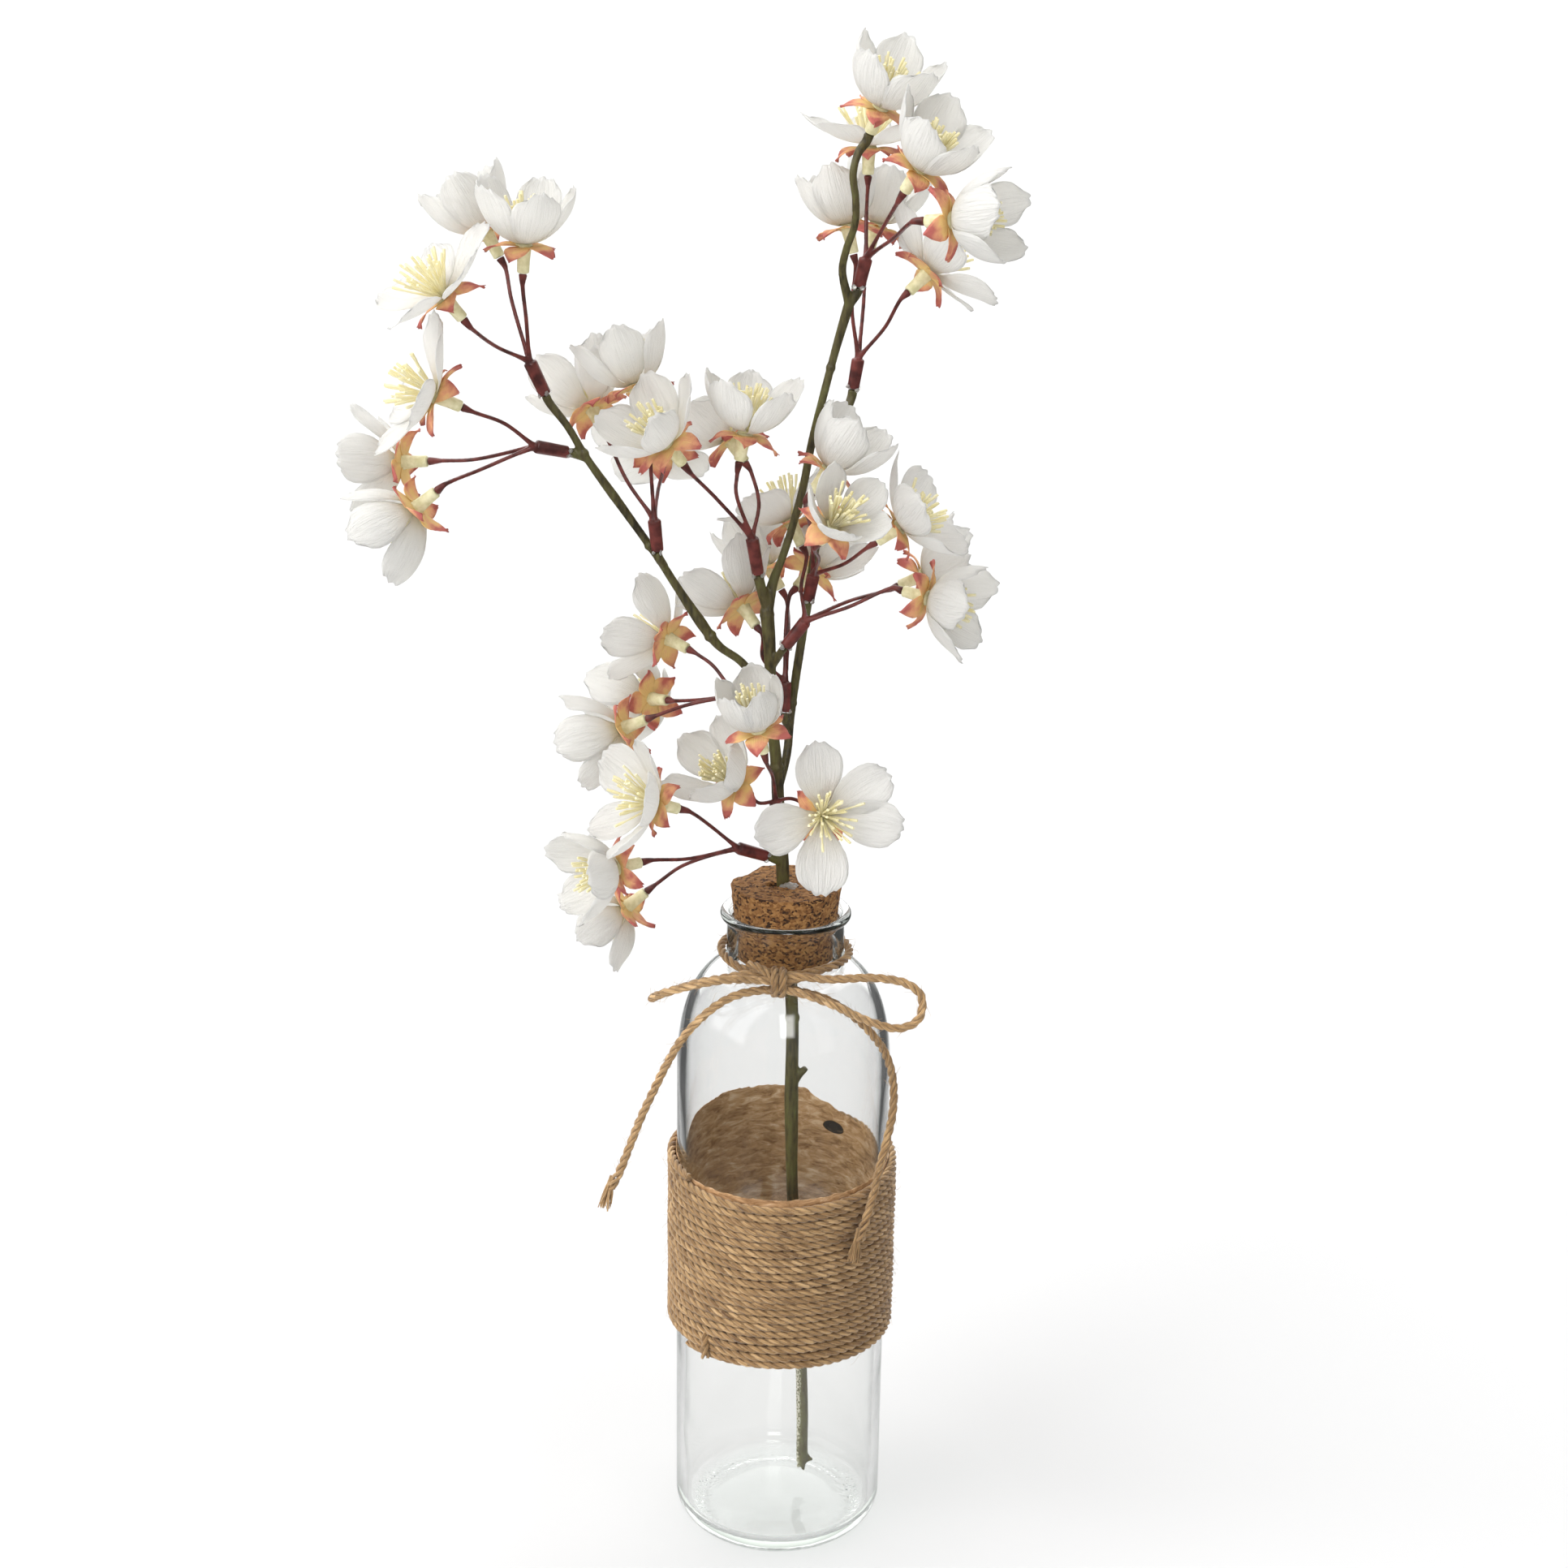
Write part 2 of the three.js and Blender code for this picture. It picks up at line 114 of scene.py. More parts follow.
def frames_along(line):
    """Each point of a line, two directions square to it that turn as little as they can, the way
    ahead and the length so far."""
    side = Vector((0.31, 0.55, 0.77))
    made = []
    gone = 0.0
    for i, point in enumerate(line):
        before = line[max(i - 1, 0)]
        ahead = (line[min(i + 1, len(line) - 1)] - before).normalized()
        side = (side - ahead * side.dot(ahead)).normalized()
        gone += (point - before).length
        made.append((point, side, ahead.cross(side), ahead, gone))
    return made


def around(turn, side, up):
    """The way out from a line at a turn round it."""
    return math.cos(turn) * side + math.sin(turn) * up


def twisted_plies(line, open_end=0.0):
    """Three plies round the line. Over the last open_end metres they come apart."""
    made = []
    long = length_of(line)
    for ply in range(3):
        strand = []
        for point, side, up, _, gone in frames_along(line):
            loose = max(0.0, 1 - (long - gone) / open_end) if open_end else 0.0
            drift = TWIST_DRIFT * math.sin(gone / DRIFT_LENGTH)
            turn = 2 * math.pi * (gone / TWIST_LENGTH + ply / 3) + drift
            out = PLY_OUT * (1 + 0.5 * loose)
            strand.append((point + out * around(turn, side, up), 1 - 0.2 * loose))
        made.append(strand)
    return made


def hairs(line, count, longest, reach=HAIR_REACH):
    """Loose fibres that leave the twine and lie roughly along it, within reach of its line."""
    frames = frames_along(line)
    made = []
    for _ in range(count):
        k = chance.randrange(2, len(frames) - 2)
        point, side, up, ahead, _ = frames[k]
        away = around(chance.uniform(0, 2 * math.pi), side, up)
        along = ahead * chance.choice((-1, 1))
        across = away.cross(along) * chance.uniform(-1, 1)
        length = longest * chance.uniform(0.25, 1) ** 1.5
        out = length * chance.uniform(0.2, 0.6)
        strand = []
        for step in range(5):
            far = step / 4
            place = (point + away * (HAIR_ROOT + out * far)
                     + along * length * (far - 0.3 * far * far) + across * 0.4 * length * far * far)
            near = min(line[max(0, k - 10):k + 11], key=lambda p: (place - p).length)
            if (place - near).length > reach:
                place = near + (place - near).normalized() * reach
            strand.append((place, (HAIR / PLY) * (1 - 0.5 * far)))
        made.append(strand)
    return made


def brush(line, long, count, spread):
    """The frayed fibres at a cut end, which fan out from the last of the twist."""
    point, side, up, ahead, _ = frames_along(line)[-2]
    start = point - ahead * long
    made = []
    for _ in range(count):
        turn = chance.uniform(0, 2 * math.pi)
        out = math.sqrt(chance.uniform(0, 1))
        away = math.cos(turn) * side + 0.7 * math.sin(turn) * up
        reach = chance.uniform(0.82, 1.08)
        strand = []
        for k in range(6):
            far = k / 5
            strand.append((
                start + ahead * long * far * reach
                + away * out * (PLY_OUT + (spread - PLY_OUT) * far ** 1.4)
                + side * 0.25 * MM * math.sin(6 * far + turn * 3),
                chance.uniform(0.17, 0.26)))
        made.append(strand)
    return made


def placed(name, mesh, smooth=True):
    """Puts a mesh in the scene as an object."""
    for face in mesh.polygons:
        face.use_smooth = smooth
    piece = bpy.data.objects.new(name, mesh)
    bpy.context.scene.collection.objects.link(piece)
    return piece


def settled(name, soft):
    """Turns a curve, or an object with modifiers, into a plain mesh of the given name."""
    mesh = bpy.data.meshes.new_from_object(soft.evaluated_get(bpy.context.evaluated_depsgraph_get()))
    bpy.data.objects.remove(soft)
    mesh.name = name
    mesh.materials.clear()
    return placed(name, mesh)


def tubes(name, strands, width, sides=1):
    """One mesh of round tubes along the strands, lists of (point, share of the width)."""
    data = bpy.data.curves.new(name, "CURVE")
    data.dimensions = "3D"
    data.bevel_depth = width / 2
    data.bevel_resolution = sides
    data.use_fill_caps = True
    for strand in strands:
        spline = data.splines.new("POLY")
        spline.points.add(len(strand) - 1)
        for made, (point, share) in zip(spline.points, strand):
            made.co = (*point, 1)
            made.radius = share
    soft = bpy.data.objects.new(name + "_line", data)
    bpy.context.scene.collection.objects.link(soft)
    return settled(name, soft)


def unrolled(piece, strands):
    """Stores where each vertex would lie if its strand were pulled straight along X."""
    tree = kdtree.KDTree(sum(len(strand) for strand in strands))
    places = []
    for n, strand in enumerate(strands):
        for point, side, up, _, gone in frames_along([point for point, _ in strand]):
            tree.insert(point, len(places))
            places.append((point, side, up, gone + n * STRANDS_APART))
    tree.balance()
    store = piece.data.attributes.new("straight", "FLOAT_VECTOR", "POINT")
    for vertex in piece.data.vertices:
        point, side, up, gone = places[tree.find(vertex.co)[1]]
        from_line = vertex.co - point
        store.data[vertex.index].vector = (gone, from_line.dot(side), from_line.dot(up))


def put(tree, kind, sockets=None, **settings):
    """Adds a shader node. A socket is given a value, or another node's output to link to."""
    made = tree.nodes.new(kind)
    for key, value in settings.items():
        setattr(made, key, value)
    for key, value in (sockets or {}).items():
        if isinstance(value, bpy.types.NodeSocket):
            tree.links.new(value, made.inputs[key])
        else:
            made.inputs[key].default_value = value
    return made


def figure(tree, operation, *values, **settings):
    """A sum, product or comparison of numbers and outputs."""
    made = put(tree, "ShaderNodeMath", dict(enumerate(values)), operation=operation, **settings)
    return made.outputs[0]


def mean(tree, first, second):
    """The mean of two outputs."""
    return figure(tree, "MULTIPLY", figure(tree, "ADD", first, second), 0.5)


def ramp(tree, amount, *stops):
    """A colour ramp over (place, (red, green, blue)) stops."""
    made = put(tree, "ShaderNodeValToRGB", {"Fac": amount})
    band = made.color_ramp.elements
    while len(band) < len(stops):
        band.new(0.5)
    for stop, (place, color) in zip(band, stops):
        stop.position = place
        stop.color = (*color, 1)
    return made.outputs["Color"]


def finish_of(name, **sockets):
    """A new material, its node tree and its shader, with plain values on the shader's sockets."""
    made = bpy.data.materials.new(name)
    made.use_nodes = True
    shader = made.node_tree.nodes["Principled BSDF"]
    for key, value in sockets.items():
        shader.inputs[key.replace("_", " ")].default_value = value
    return made, made.node_tree, shader


def color_by(shader, amount, *stops):
    """Colours a material by an amount."""
    tree = shader.id_data
    tree.links.new(ramp(tree, amount, *stops), shader.inputs["Base Color"])


def emboss(shader, height, strength, distance, **under):
    """Raises a material's surface, over another such relief where one is given."""
    tree = shader.id_data
    sockets = {"Height": height, "Strength": strength, "Distance": distance, **under}
    raised = put(tree, "ShaderNodeBump", sockets).outputs[0]
    tree.links.new(raised, shader.inputs["Normal"])
    return raised


def grain_effect():
    """The noise behind fibre, streaks, grit and blotches, drawn out by its own stretch each time."""
    made = bpy.data.node_groups.new("grain", "ShaderNodeTree")
    kinds = {"Place": "Vector", "Stretch": "Vector", "Detail": "Float", "Roughness": "Float",
             "Distortion": "Float"}
    for name, kind in kinds.items():
        made.interface.new_socket(name, in_out="INPUT", socket_type="NodeSocket" + kind)
    made.interface.new_socket("Amount", in_out="OUTPUT", socket_type="NodeSocketFloat")
    given = put(made, "NodeGroupInput").outputs
    drawn = put(made, "ShaderNodeVectorMath", {0: given["Place"], 1: given["Stretch"]},
                operation="MULTIPLY")
    uneven = put(made, "ShaderNodeTexNoise", {
        "Vector": drawn.outputs[0], "Scale": 1.0, "Detail": given["Detail"],
        "Roughness": given["Roughness"], "Distortion": given["Distortion"]})
    put(made, "NodeGroupOutput", {"Amount": uneven.outputs["Fac"]})
    return made


shared_grain = grain_effect()


def grain(tree, place, stretch, detail, roughness=0.5, distortion=0.0):
    """Places the shared grain in a material. One number for its stretch is the same in every way."""
    if isinstance(stretch, int):
        stretch = (stretch, stretch, stretch)
    return put(tree, "ShaderNodeGroup", {
        "Place": place, "Stretch": stretch, "Detail": detail, "Roughness": roughness,
        "Distortion": distortion}, node_tree=shared_grain).outputs["Amount"]


def twine_finish(name, dark, middle, pale):
    """Jute fibres that run along the twine, in three tones."""
    made, tree, shader = finish_of(name, Roughness=0.85, Sheen_Weight=0.25, Sheen_Roughness=0.5)
    straight = put(tree, "ShaderNodeAttribute", attribute_name="straight").outputs["Vector"]
    fibre = grain(tree, straight, (160, 3400, 3400), 3.0, 0.6)
    patch = grain(tree, straight, (55, 300, 300), 2.0)
    color_by(shader, mean(tree, fibre, patch), (0.36, dark), (0.5, middle), (0.64, pale))
    emboss(shader, fibre, 0.7, 0.3 * MM)
    return made


jute = twine_finish("jute_twine", (0.105, 0.05, 0.016), (0.33, 0.192, 0.077), (0.58, 0.385, 0.19))
# The bow's twine: the same jute painted paler, as painted light from the front and above.
painted_lit_jute = twine_finish("jute_twine_painted_lit", (0.135, 0.066, 0.023), (0.42, 0.255, 0.109),
                        (0.74, 0.5, 0.262))


def dress(piece, material, slot, *nodes):
    """Gives a finished piece its material, hangs it on the root body and hides the model parts it
    stands in for.
    """
    piece.data.materials.append(material)
    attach(piece, "root")
    if nodes:
        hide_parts(*nodes)
    return piece


def twine_piece(name, strands, node, width=PLY, sides=2, material=jute):
    """A finished piece of twine, made of its strands."""
    piece = tubes(name, strands, width, sides)
    unrolled(piece, strands)
    return dress(piece, material, "jute", node)


BOW = {
    "bow_loop_left": [
        (-4, -29.5, 226), (-11.5, -31, 227), (-18.5, -33.5, 228), (-26.5, -34, 227), (-35, -32, 224),
        (-42, -29, 220.5), (-45.5, -25, 217), (-43.5, -21, 216.5), (-37, -20, 218.5),
        (-29.5, -21, 221.5), (-21.5, -23, 224), (-13, -25.8, 227), (-4, -26, 228),
    ],
    "bow_loop_right": [
        (0, -28, 227), (6.5, -29, 227.5), (14, -29.5, 227), (21, -30, 227.5), (28, -30, 228),
        (35.5, -30, 227.5), (41.5, -30, 226), (46, -30, 222.5), (47, -30, 218), (45.5, -30, 212.5),
        (39.5, -30, 209.5), (32, -30.5, 211), (24.5, -31.5, 214.5), (19, -32, 217.5),
        (13.5, -32.2, 220), (8, -32, 222), (0, -30.5, 223.5),
    ],
    "bow_tail_left": [
        (-4, -28, 222.5), (-14.5, -30, 221.5), (-21.5, -31, 218.5), (-28.5, -31, 212.5),
        (-35, -31, 204.5), (-40, -31, 195.5), (-44.5, -31, 185.5), (-49, -31, 175),
        (-52.5, -31.5, 165.5), (-56.5, -32, 154.5), (-60.5, -32, 146), (-62, -32, 140),
    ],
    "bow_tail_right": [
        (0, -27, 222.5), (10.5, -28.4, 220.5), (16.5, -28.4, 218), (25, -27.5, 211.5),
        (31.5, -24, 203), (36, -19, 193.5), (38.5, -17, 183), (38.5, -20, 173), (36.5, -24, 164),
        (34, -28, 155), (32, -31, 146), (29.5, -33.5, 137.5), (26.5, -36, 129), (25.5, -37, 123),
    ],
}
FRAY, FRAY_SPREAD, FRAY_FIBRES = 12 * MM, 2.6 * MM, 60
for name, route in BOW.items():
    tail = "tail" in name
    line = smooth_line(route, TWINE_STEP)
    long = length_of(line)
    whole = line[:len(line) - round(0.7 * FRAY / TWINE_STEP)] if tail else line
    strands = twisted_plies(whole, FRAY if tail else 0) + hairs(whole, round(long / MM), 6 * MM)
    if tail:
        strands += brush(line, FRAY, FRAY_FIBRES, FRAY_SPREAD)
    # Painted light: all but the right tail take the twine painted paler.
    piece = twine_piece(name + "_twine", strands, name,
                        material=jute if name == "bow_tail_right" else painted_lit_jute)

# Neck turn and knot: the same twine goes once round the neck just under the lip and is tied in
# front. Two passes of it are drawn down over the crossing, and the bow leaves from behind them.
NECK_TURN, NECK_TURN_HEIGHT = 22.45, 226
NECK_ROUTE = [
    (NECK_TURN * math.sin(turn), -NECK_TURN * math.cos(turn),
     NECK_TURN_HEIGHT - 0.9 * math.cos(turn) ** 3 + 0.5 * math.sin(3 * turn))
    for turn in map(math.radians, range(10, 370, 20))
]
line = smooth_line(NECK_ROUTE, TWINE_STEP, closed=True)
twine_piece("neck_turn_twine", twisted_plies(line) + hairs(line, 150, 7 * MM), "neck_twine")

KNOT_ROUTES = [
    [(-3.4, -25.9, 228.6), (-3.5, -28.4, 229.2), (-3.5, -30.8, 228), (-3.4, -31.8, 225.4),
     (-3.4, -31.2, 222.6), (-3.4, -29.2, 221.2), (-3.4, -26.8, 221.2)],
    [(-0.8, -25.9, 228.4), (-0.7, -28.2, 229), (-0.6, -30.7, 227.8), (-0.7, -31.8, 225.1),
     (-0.9, -31.2, 222.4), (-1.2, -29, 221), (-1.3, -26.6, 221.2)],
    [(-12.5, -23.2, 229.4), (-9.5, -26.2, 229.9), (-6.6, -28.4, 229), (-4, -29.6, 227),
     (-1, -29.8, 225), (1.6, -29, 223.4)],
    [(-7.5, -27.6, 222), (-4.5, -29.2, 222.6), (-1.5, -29.8, 224.2), (1.6, -29.6, 226),
     (5, -28.6, 227)],
]
KNOT_STEP, KNOT_PLY = 0.6 * MM, 0.95 * PLY
strands = []
for route in KNOT_ROUTES:
    line = smooth_line(route, KNOT_STEP)
    strands += twisted_plies(line) + hairs(line, 14, 5 * MM, 3.4 * MM)
twine_piece("bow_knot", strands, "neck_twine", KNOT_PLY)

# Jute band: 22 close turns of the twine, glued round the body and not quite even. The first end
# is laid up over the bottom turns at the front left and glued there.
BAND_RADIUS = 39.85 * MM
BAND_LOW, BAND_HIGH = 81.6 * MM, 148.4 * MM
BAND_START = math.radians(215)
BAND_STEP, BAND_PLY = 1.5 * MM, 1.12 * PLY
TURNS = 22
DRAWN_IN = 0.055
steps = round(TURNS * 2 * math.pi * BAND_RADIUS / BAND_STEP)
band_line = []
for i in range(steps + 1):
    share = i / steps
    turn = 2 * math.pi * TURNS * share + BAND_START
    stray = 0.35 * math.sin(turn + 13 * share) + 0.2 * math.sin(2 * turn + 31 * share)
    radius = BAND_RADIUS + 0.1 * MM * math.sin(2.9 * turn)
    drawn = 1 - DRAWN_IN * max(0, -math.sin(turn)) ** 2
    height = BAND_LOW + (BAND_HIGH - BAND_LOW) * (0.5 + (share - 0.5) * drawn) + stray * MM
    band_line.append(Vector((radius * math.cos(turn), radius * math.sin(turn), height)))
twine_piece("jute_band", twisted_plies(band_line), "jute_wrap", BAND_PLY, 1)
twine_piece("jute_band_fuzz", hairs(band_line, 1100, 10 * MM, 3.8 * MM), "jute_wrap", sides=0)

END_ROUTE = [(-25.6, -28.2, 93.5), (-25.9, -29.6, 91), (-26.4, -31.6, 88), (-26.6, -32.6, 84.5),
             (-26.2, -32.4, 81.8)]
line = smooth_line(END_ROUTE, TWINE_STEP)
strands = twisted_plies(line, 5 * MM) + brush(line, 4 * MM, 26, 1.5 * MM)
twine_piece("jute_band_end", strands, "jute_wrap")

# Band's backing: the glue that holds the turns has soaked a thin brown layer of jute against the
# glass. At the back it stands above the twine with an uneven edge, and one spot of it has come off,
# where the gap is painted near black as painted shade.
BACKING_RADIUS, BACKING_THICK, BACKING_LOW = 38.25 * MM, 0.15 * MM, 82 * MM
BACKING_TOP = [(0, 148), (50, 149), (62, 151.5), (70, 152.5), (77, 155.5), (99, 156.3), (125, 156.8),
               (141, 155.6), (161, 154.5), (178, 150.5), (215, 147), (360, 148)]
BARE_SPOT, BARE_EDGE, BARE_INSIDE = (0.0205, 0.0323, 0.1425), 5 * MM, 4.2 * MM


def between(stops, place):
    """A smooth value between the (place, value) stops."""
    for (a, low), (b, high) in zip(stops, stops[1:]):
        if place <= b:
            share = (place - a) / (b - a)
            share = share * share * (3 - 2 * share) * 0.5 + share * 0.5
            return low + (high - low) * share
    return stops[-1][1]


def keep(name, shape, smooth=True):
    """Puts a finished shape in the scene as an object."""
    mesh = bpy.data.meshes.new(name)
    shape.to_mesh(mesh)
    shape.free()
    return placed(name, mesh, smooth)


def thicken(piece, name, thick):
    """Gives a sheet its thickness, half to each side."""
    layer = piece.modifiers.new(name, "SOLIDIFY")
    layer.thickness = thick
    layer.offset = 0


def object_place(tree):
    """A point's place in its object, in metres."""
    return put(tree, "ShaderNodeTexCoord").outputs["Object"]


def ranged(tree, value, start=0.0, end=1.0, low=0.0, high=1.0):
    """An output brought from start and end to low and high, and held there beyond them."""
    return put(tree, "ShaderNodeMapRange", {
        "Value": value, "From Min": start, "From Max": end, "To Min": low, "To Max": high}).outputs[0]


def vectors(tree, operation, *values):
    """A sum, product or length of vectors and outputs."""
    made = put(tree, "ShaderNodeVectorMath", dict(enumerate(values)), operation=operation)
    return made.outputs["Value" if operation in ("LENGTH", "DOT_PRODUCT") else "Vector"]


shape = bmesh.new()
for vertex in bmesh.ops.create_grid(shape, x_segments=240, y_segments=12, size=1)["verts"]:
    across, up = vertex.co.x, (vertex.co.y + 1) / 2
    turn = (across + 1) * 180
    coarse, fine = Vector((across * 34, 2, 5)), Vector((across * 90, 7, 1))
    fray = noise.noise(coarse) * 0.6 + noise.noise(fine) * 0.4
    top = (between(BACKING_TOP, turn) + (fray if 5 < turn < 355 else 0)) * MM
    angle = math.radians(turn)
    vertex.co = (BACKING_RADIUS * math.cos(angle), BACKING_RADIUS * math.sin(angle),
                 BACKING_LOW + (top - BACKING_LOW) * up)
bmesh.ops.remove_doubles(shape, verts=shape.verts, dist=1e-6)
backing = keep("jute_band_backing", shape, smooth=False)
thicken(backing, "layer", BACKING_THICK)
PAINTED_GAP_SHADE, SOAKED_DARK = (0.01, 0.008, 0.006), (0.25, 0.125, 0.047)
SOAKED, SOAKED_PALE = (0.54, 0.32, 0.155), (0.86, 0.66, 0.46)
soaked, tree, shader = finish_of("glue_soaked_jute", Roughness=0.6)
place = object_place(tree)
streak = grain(tree, place, (130, 130, 420), 4.0, 0.7, 0.6)
from_spot = vectors(tree, "MULTIPLY", vectors(tree, "SUBTRACT", place, BARE_SPOT), (1, 1, 2))
gone = ranged(tree, vectors(tree, "LENGTH", from_spot), BARE_EDGE, BARE_INSIDE)
# The spot where the layer has come off is painted near black: painted shade in the gap.
color_by(shader, figure(tree, "SUBTRACT", streak, gone), (0, PAINTED_GAP_SHADE), (0.34, SOAKED_DARK),
         (0.52, SOAKED), (0.75, SOAKED_PALE))
emboss(shader, streak, 0.8, 0.6 * MM)
dress(backing, soaked, "jute", "jute_wrap")

# Bottle: clear pressed glass with a heavy floor pushed up in the middle, a stippled ring under the
# heel, a full round shoulder and a rolled bead at the mouth. One wall, spun round the axis.
GLASS_RADIUS, WALL, NECK, BORE = 38, 3, 20.6, 18.1
SHOULDER_CORE, SHOULDER_FOOT, ROUNDNESS = 14, 180, 2.4


def shoulder(outer, rise, top, steps):
    """The shoulder's outline, from the body's radius in to the neck's."""
    span = outer - SHOULDER_CORE
    end = (1 - ((top - SHOULDER_CORE) / span) ** ROUNDNESS) ** (1 / ROUNDNESS)
    made = []
    for i in range(steps + 1):
        up = end * math.sin(math.pi / 2 * i / steps)
        out = (1 - up ** ROUNDNESS) ** (1 / ROUNDNESS)
        made.append((SHOULDER_CORE + span * out, SHOULDER_FOOT + rise * up))
    return made


def arc(centre, height, radius, start, end, steps):
    """Part of a circle in an outline, from one angle in degrees to another."""
    angles = [math.radians(start + (end - start) * i / steps) for i in range(steps + 1)]
    return [(centre + radius * math.cos(a), height + radius * math.sin(a)) for a in angles]


def spun(outline, steps):
    """A closed solid of revolution. The outline, in millimetres, starts and ends on the axis."""
    shape = bmesh.new()
    ring = [shape.verts.new((radius * MM, 0, height * MM)) for radius, height in outline]
    edges = [shape.edges.new(pair) for pair in zip(ring, ring[1:])]
    bmesh.ops.spin(shape, geom=ring + edges, cent=(0, 0, 0), axis=(0, 0, 1), angle=2 * math.pi,
                   steps=steps, use_merge=True)
    bmesh.ops.remove_doubles(shape, verts=shape.verts, dist=1e-6)
    bmesh.ops.recalc_face_normals(shape, faces=shape.faces)
    return shape


GLASS_OUTLINE = (
    [(0, 2.6), (9, 2.5), (16, 2), (21, 1.2), (24.5, 0.35), (26.5, 0)]
    + arc(28, 10, 10, -90, 0, 12)
    + [(GLASS_RADIUS, z) for z in range(20, 180, 16)]
    + shoulder(GLASS_RADIUS, 43, NECK, 22)
    + [(NECK, 228), (NECK, 236.5), (NECK + 0.1, 237.9)]
    + arc(21.3, 239.8, 1.6, -70, 180, 14)
    + [(18.8, 238), (BORE, 236), (BORE, 228)]
    + shoulder(GLASS_RADIUS - WALL, 40, BORE, 18)[::-1]
    + [(GLASS_RADIUS - WALL, z) for z in range(164, 20, -16)]
    + arc(29.5, 11.6, 5.5, 0, -90, 8)
    + [(22, 6.1), (16, 7.2), (9, 8), (0, 8.3)]
)
bottle = keep("glass_bottle_wall", spun(GLASS_OUTLINE, 128))

# The glass's colour is painted dark where it's seen at a grazing angle, and in the pips round its
# heel: a painted reflection of the dark surroundings that the glass bends into view. Light that the
# wall mirrors again and again is let out in a colour by its height, or it would end black.
# Shadow and diffuse rays go straight on, or what stands inside would be lit twice.
GLASS_CLEAR, GLASS_GREY, GLASS_DARK = (0.94, 0.944, 0.939), (0.48, 0.505, 0.49), (0.13, 0.14, 0.135)
HEEL_TOP, HEEL_FOOT = 6 * MM, 4 * MM
RING_TOP, RING_FOOT, RING_INNER, RING_OUTER = 3 * MM, 1 * MM, 23 * MM, 29 * MM
PIPS_EACH_METRE, PIP_SHADE = 620, 1.2
CAUGHT_AFTER = 2.5
CAUGHT_LIGHT = [(0.004, (0.62, 0.64, 0.62)), (0.02, (0.88, 0.9, 0.88)), (0.05, (0.35, 0.37, 0.35)),
                (0.225, (0.35, 0.37, 0.35)), (0.235, (0.72, 0.75, 0.72))]
STRAIGHT_LIGHT = (0.97, 0.98, 0.975, 1)


def parts_of(tree, vector):
    """A vector's X, Y and Z."""
    return put(tree, "ShaderNodeSeparateXYZ", {"Vector": vector}).outputs


glass, tree, shader = finish_of("clear_glass", Roughness=0.0, IOR=1.48, Transmission_Weight=1.0)
place = object_place(tree)
height = parts_of(tree, place)["Z"]
pips = put(tree, "ShaderNodeTexVoronoi", {"Vector": place, "Scale": PIPS_EACH_METRE})
pips = pips.outputs["Distance"]
# Painted reflection: a grazing angle and the heel's pips darken the glass's colour.
grazing = put(tree, "ShaderNodeLayerWeight", {"Blend": 0.5}).outputs["Facing"]
inside = put(tree, "ShaderNodeNewGeometry").outputs["Backfacing"]
outer = figure(tree, "SUBTRACT", ranged(tree, height, HEEL_TOP, HEEL_FOOT), inside, use_clamp=True)
painted_dark_pips = figure(tree, "MULTIPLY", outer, figure(tree, "MULTIPLY", pips, PIP_SHADE))
color_by(shader, figure(tree, "ADD", grazing, painted_dark_pips), (0.72, GLASS_CLEAR), (0.88, GLASS_GREY),
         (0.96, GLASS_DARK))
waves = emboss(shader, grain(tree, place, 38, 1.0), 0.25, 1.5 * MM)
out = vectors(tree, "LENGTH", vectors(tree, "MULTIPLY", place, (1, 1, 0)))
ring = figure(tree, "MULTIPLY", ranged(tree, height, RING_TOP, RING_FOOT),
              ranged(tree, out, RING_INNER, RING_OUTER))
emboss(shader, figure(tree, "MULTIPLY", pips, ring), 0.6, 0.6 * MM, Normal=waves)
rays = put(tree, "ShaderNodeLightPath").outputs
caught = figure(tree, "GREATER_THAN", rays["Glossy Depth"], CAUGHT_AFTER)
let_out = put(tree, "ShaderNodeBsdfTransparent", {"Color": ramp(tree, height, *CAUGHT_LIGHT)})
wall = put(tree, "ShaderNodeMixShader", {0: caught, 1: shader.outputs[0], 2: let_out.outputs[0]})
straight_on = figure(tree, "MAXIMUM", rays["Is Shadow Ray"], rays["Is Diffuse Ray"])
clear = put(tree, "ShaderNodeBsdfTransparent", {"Color": STRAIGHT_LIGHT})
whole = put(tree, "ShaderNodeMixShader", {0: straight_on, 1: wall.outputs[0], 2: clear.outputs[0]})
tree.links.new(whole.outputs[0], tree.nodes["Material Output"].inputs["Surface"])
dress(bottle, glass, "glass", "glass_bottle")

# Cork: a tapered plug pressed from cork granules, bored for the stem. Its rim is chipped at the
# back left, and the hole has broken out into a small pit beside the stem.
CORK_TOP, CORK_FOOT, CORK_EDGE = 250.5, 224, 0.6
CORK_WIDE, CORK_NARROW, CORK_SIDE = 19.3, 16.6, 25.1
PIT, PIT_WIDTH, PIT_DEPTH, HOLE = Vector((-4.6, -1.2)) * MM, 2.6 * MM, 3.5 * MM, 3.5 * MM
CHIPS = [(143, 26, 1), (40, 9, 0.45)]
CHIP_INSIDE, CHIP_IN, CHIP_DOWN = 15.6 * MM, 1.9 * MM, 1.4 * MM
NECK_TOP = 236 * MM
cork_outline = (
    [(0, CORK_FOOT), (8, CORK_FOOT), (16, CORK_FOOT), (CORK_NARROW, CORK_FOOT + CORK_EDGE)]
    + [(CORK_NARROW + 2.7 * k / 26, CORK_FOOT + CORK_EDGE + CORK_SIDE * k / 26) for k in range(1, 26)]
    + [(CORK_WIDE, CORK_TOP - 0.5)]
    + [(18.9 - 0.7 * k, CORK_TOP) for k in range(27)] + [(0, CORK_TOP)]
)
shape = spun(cork_outline, 144)
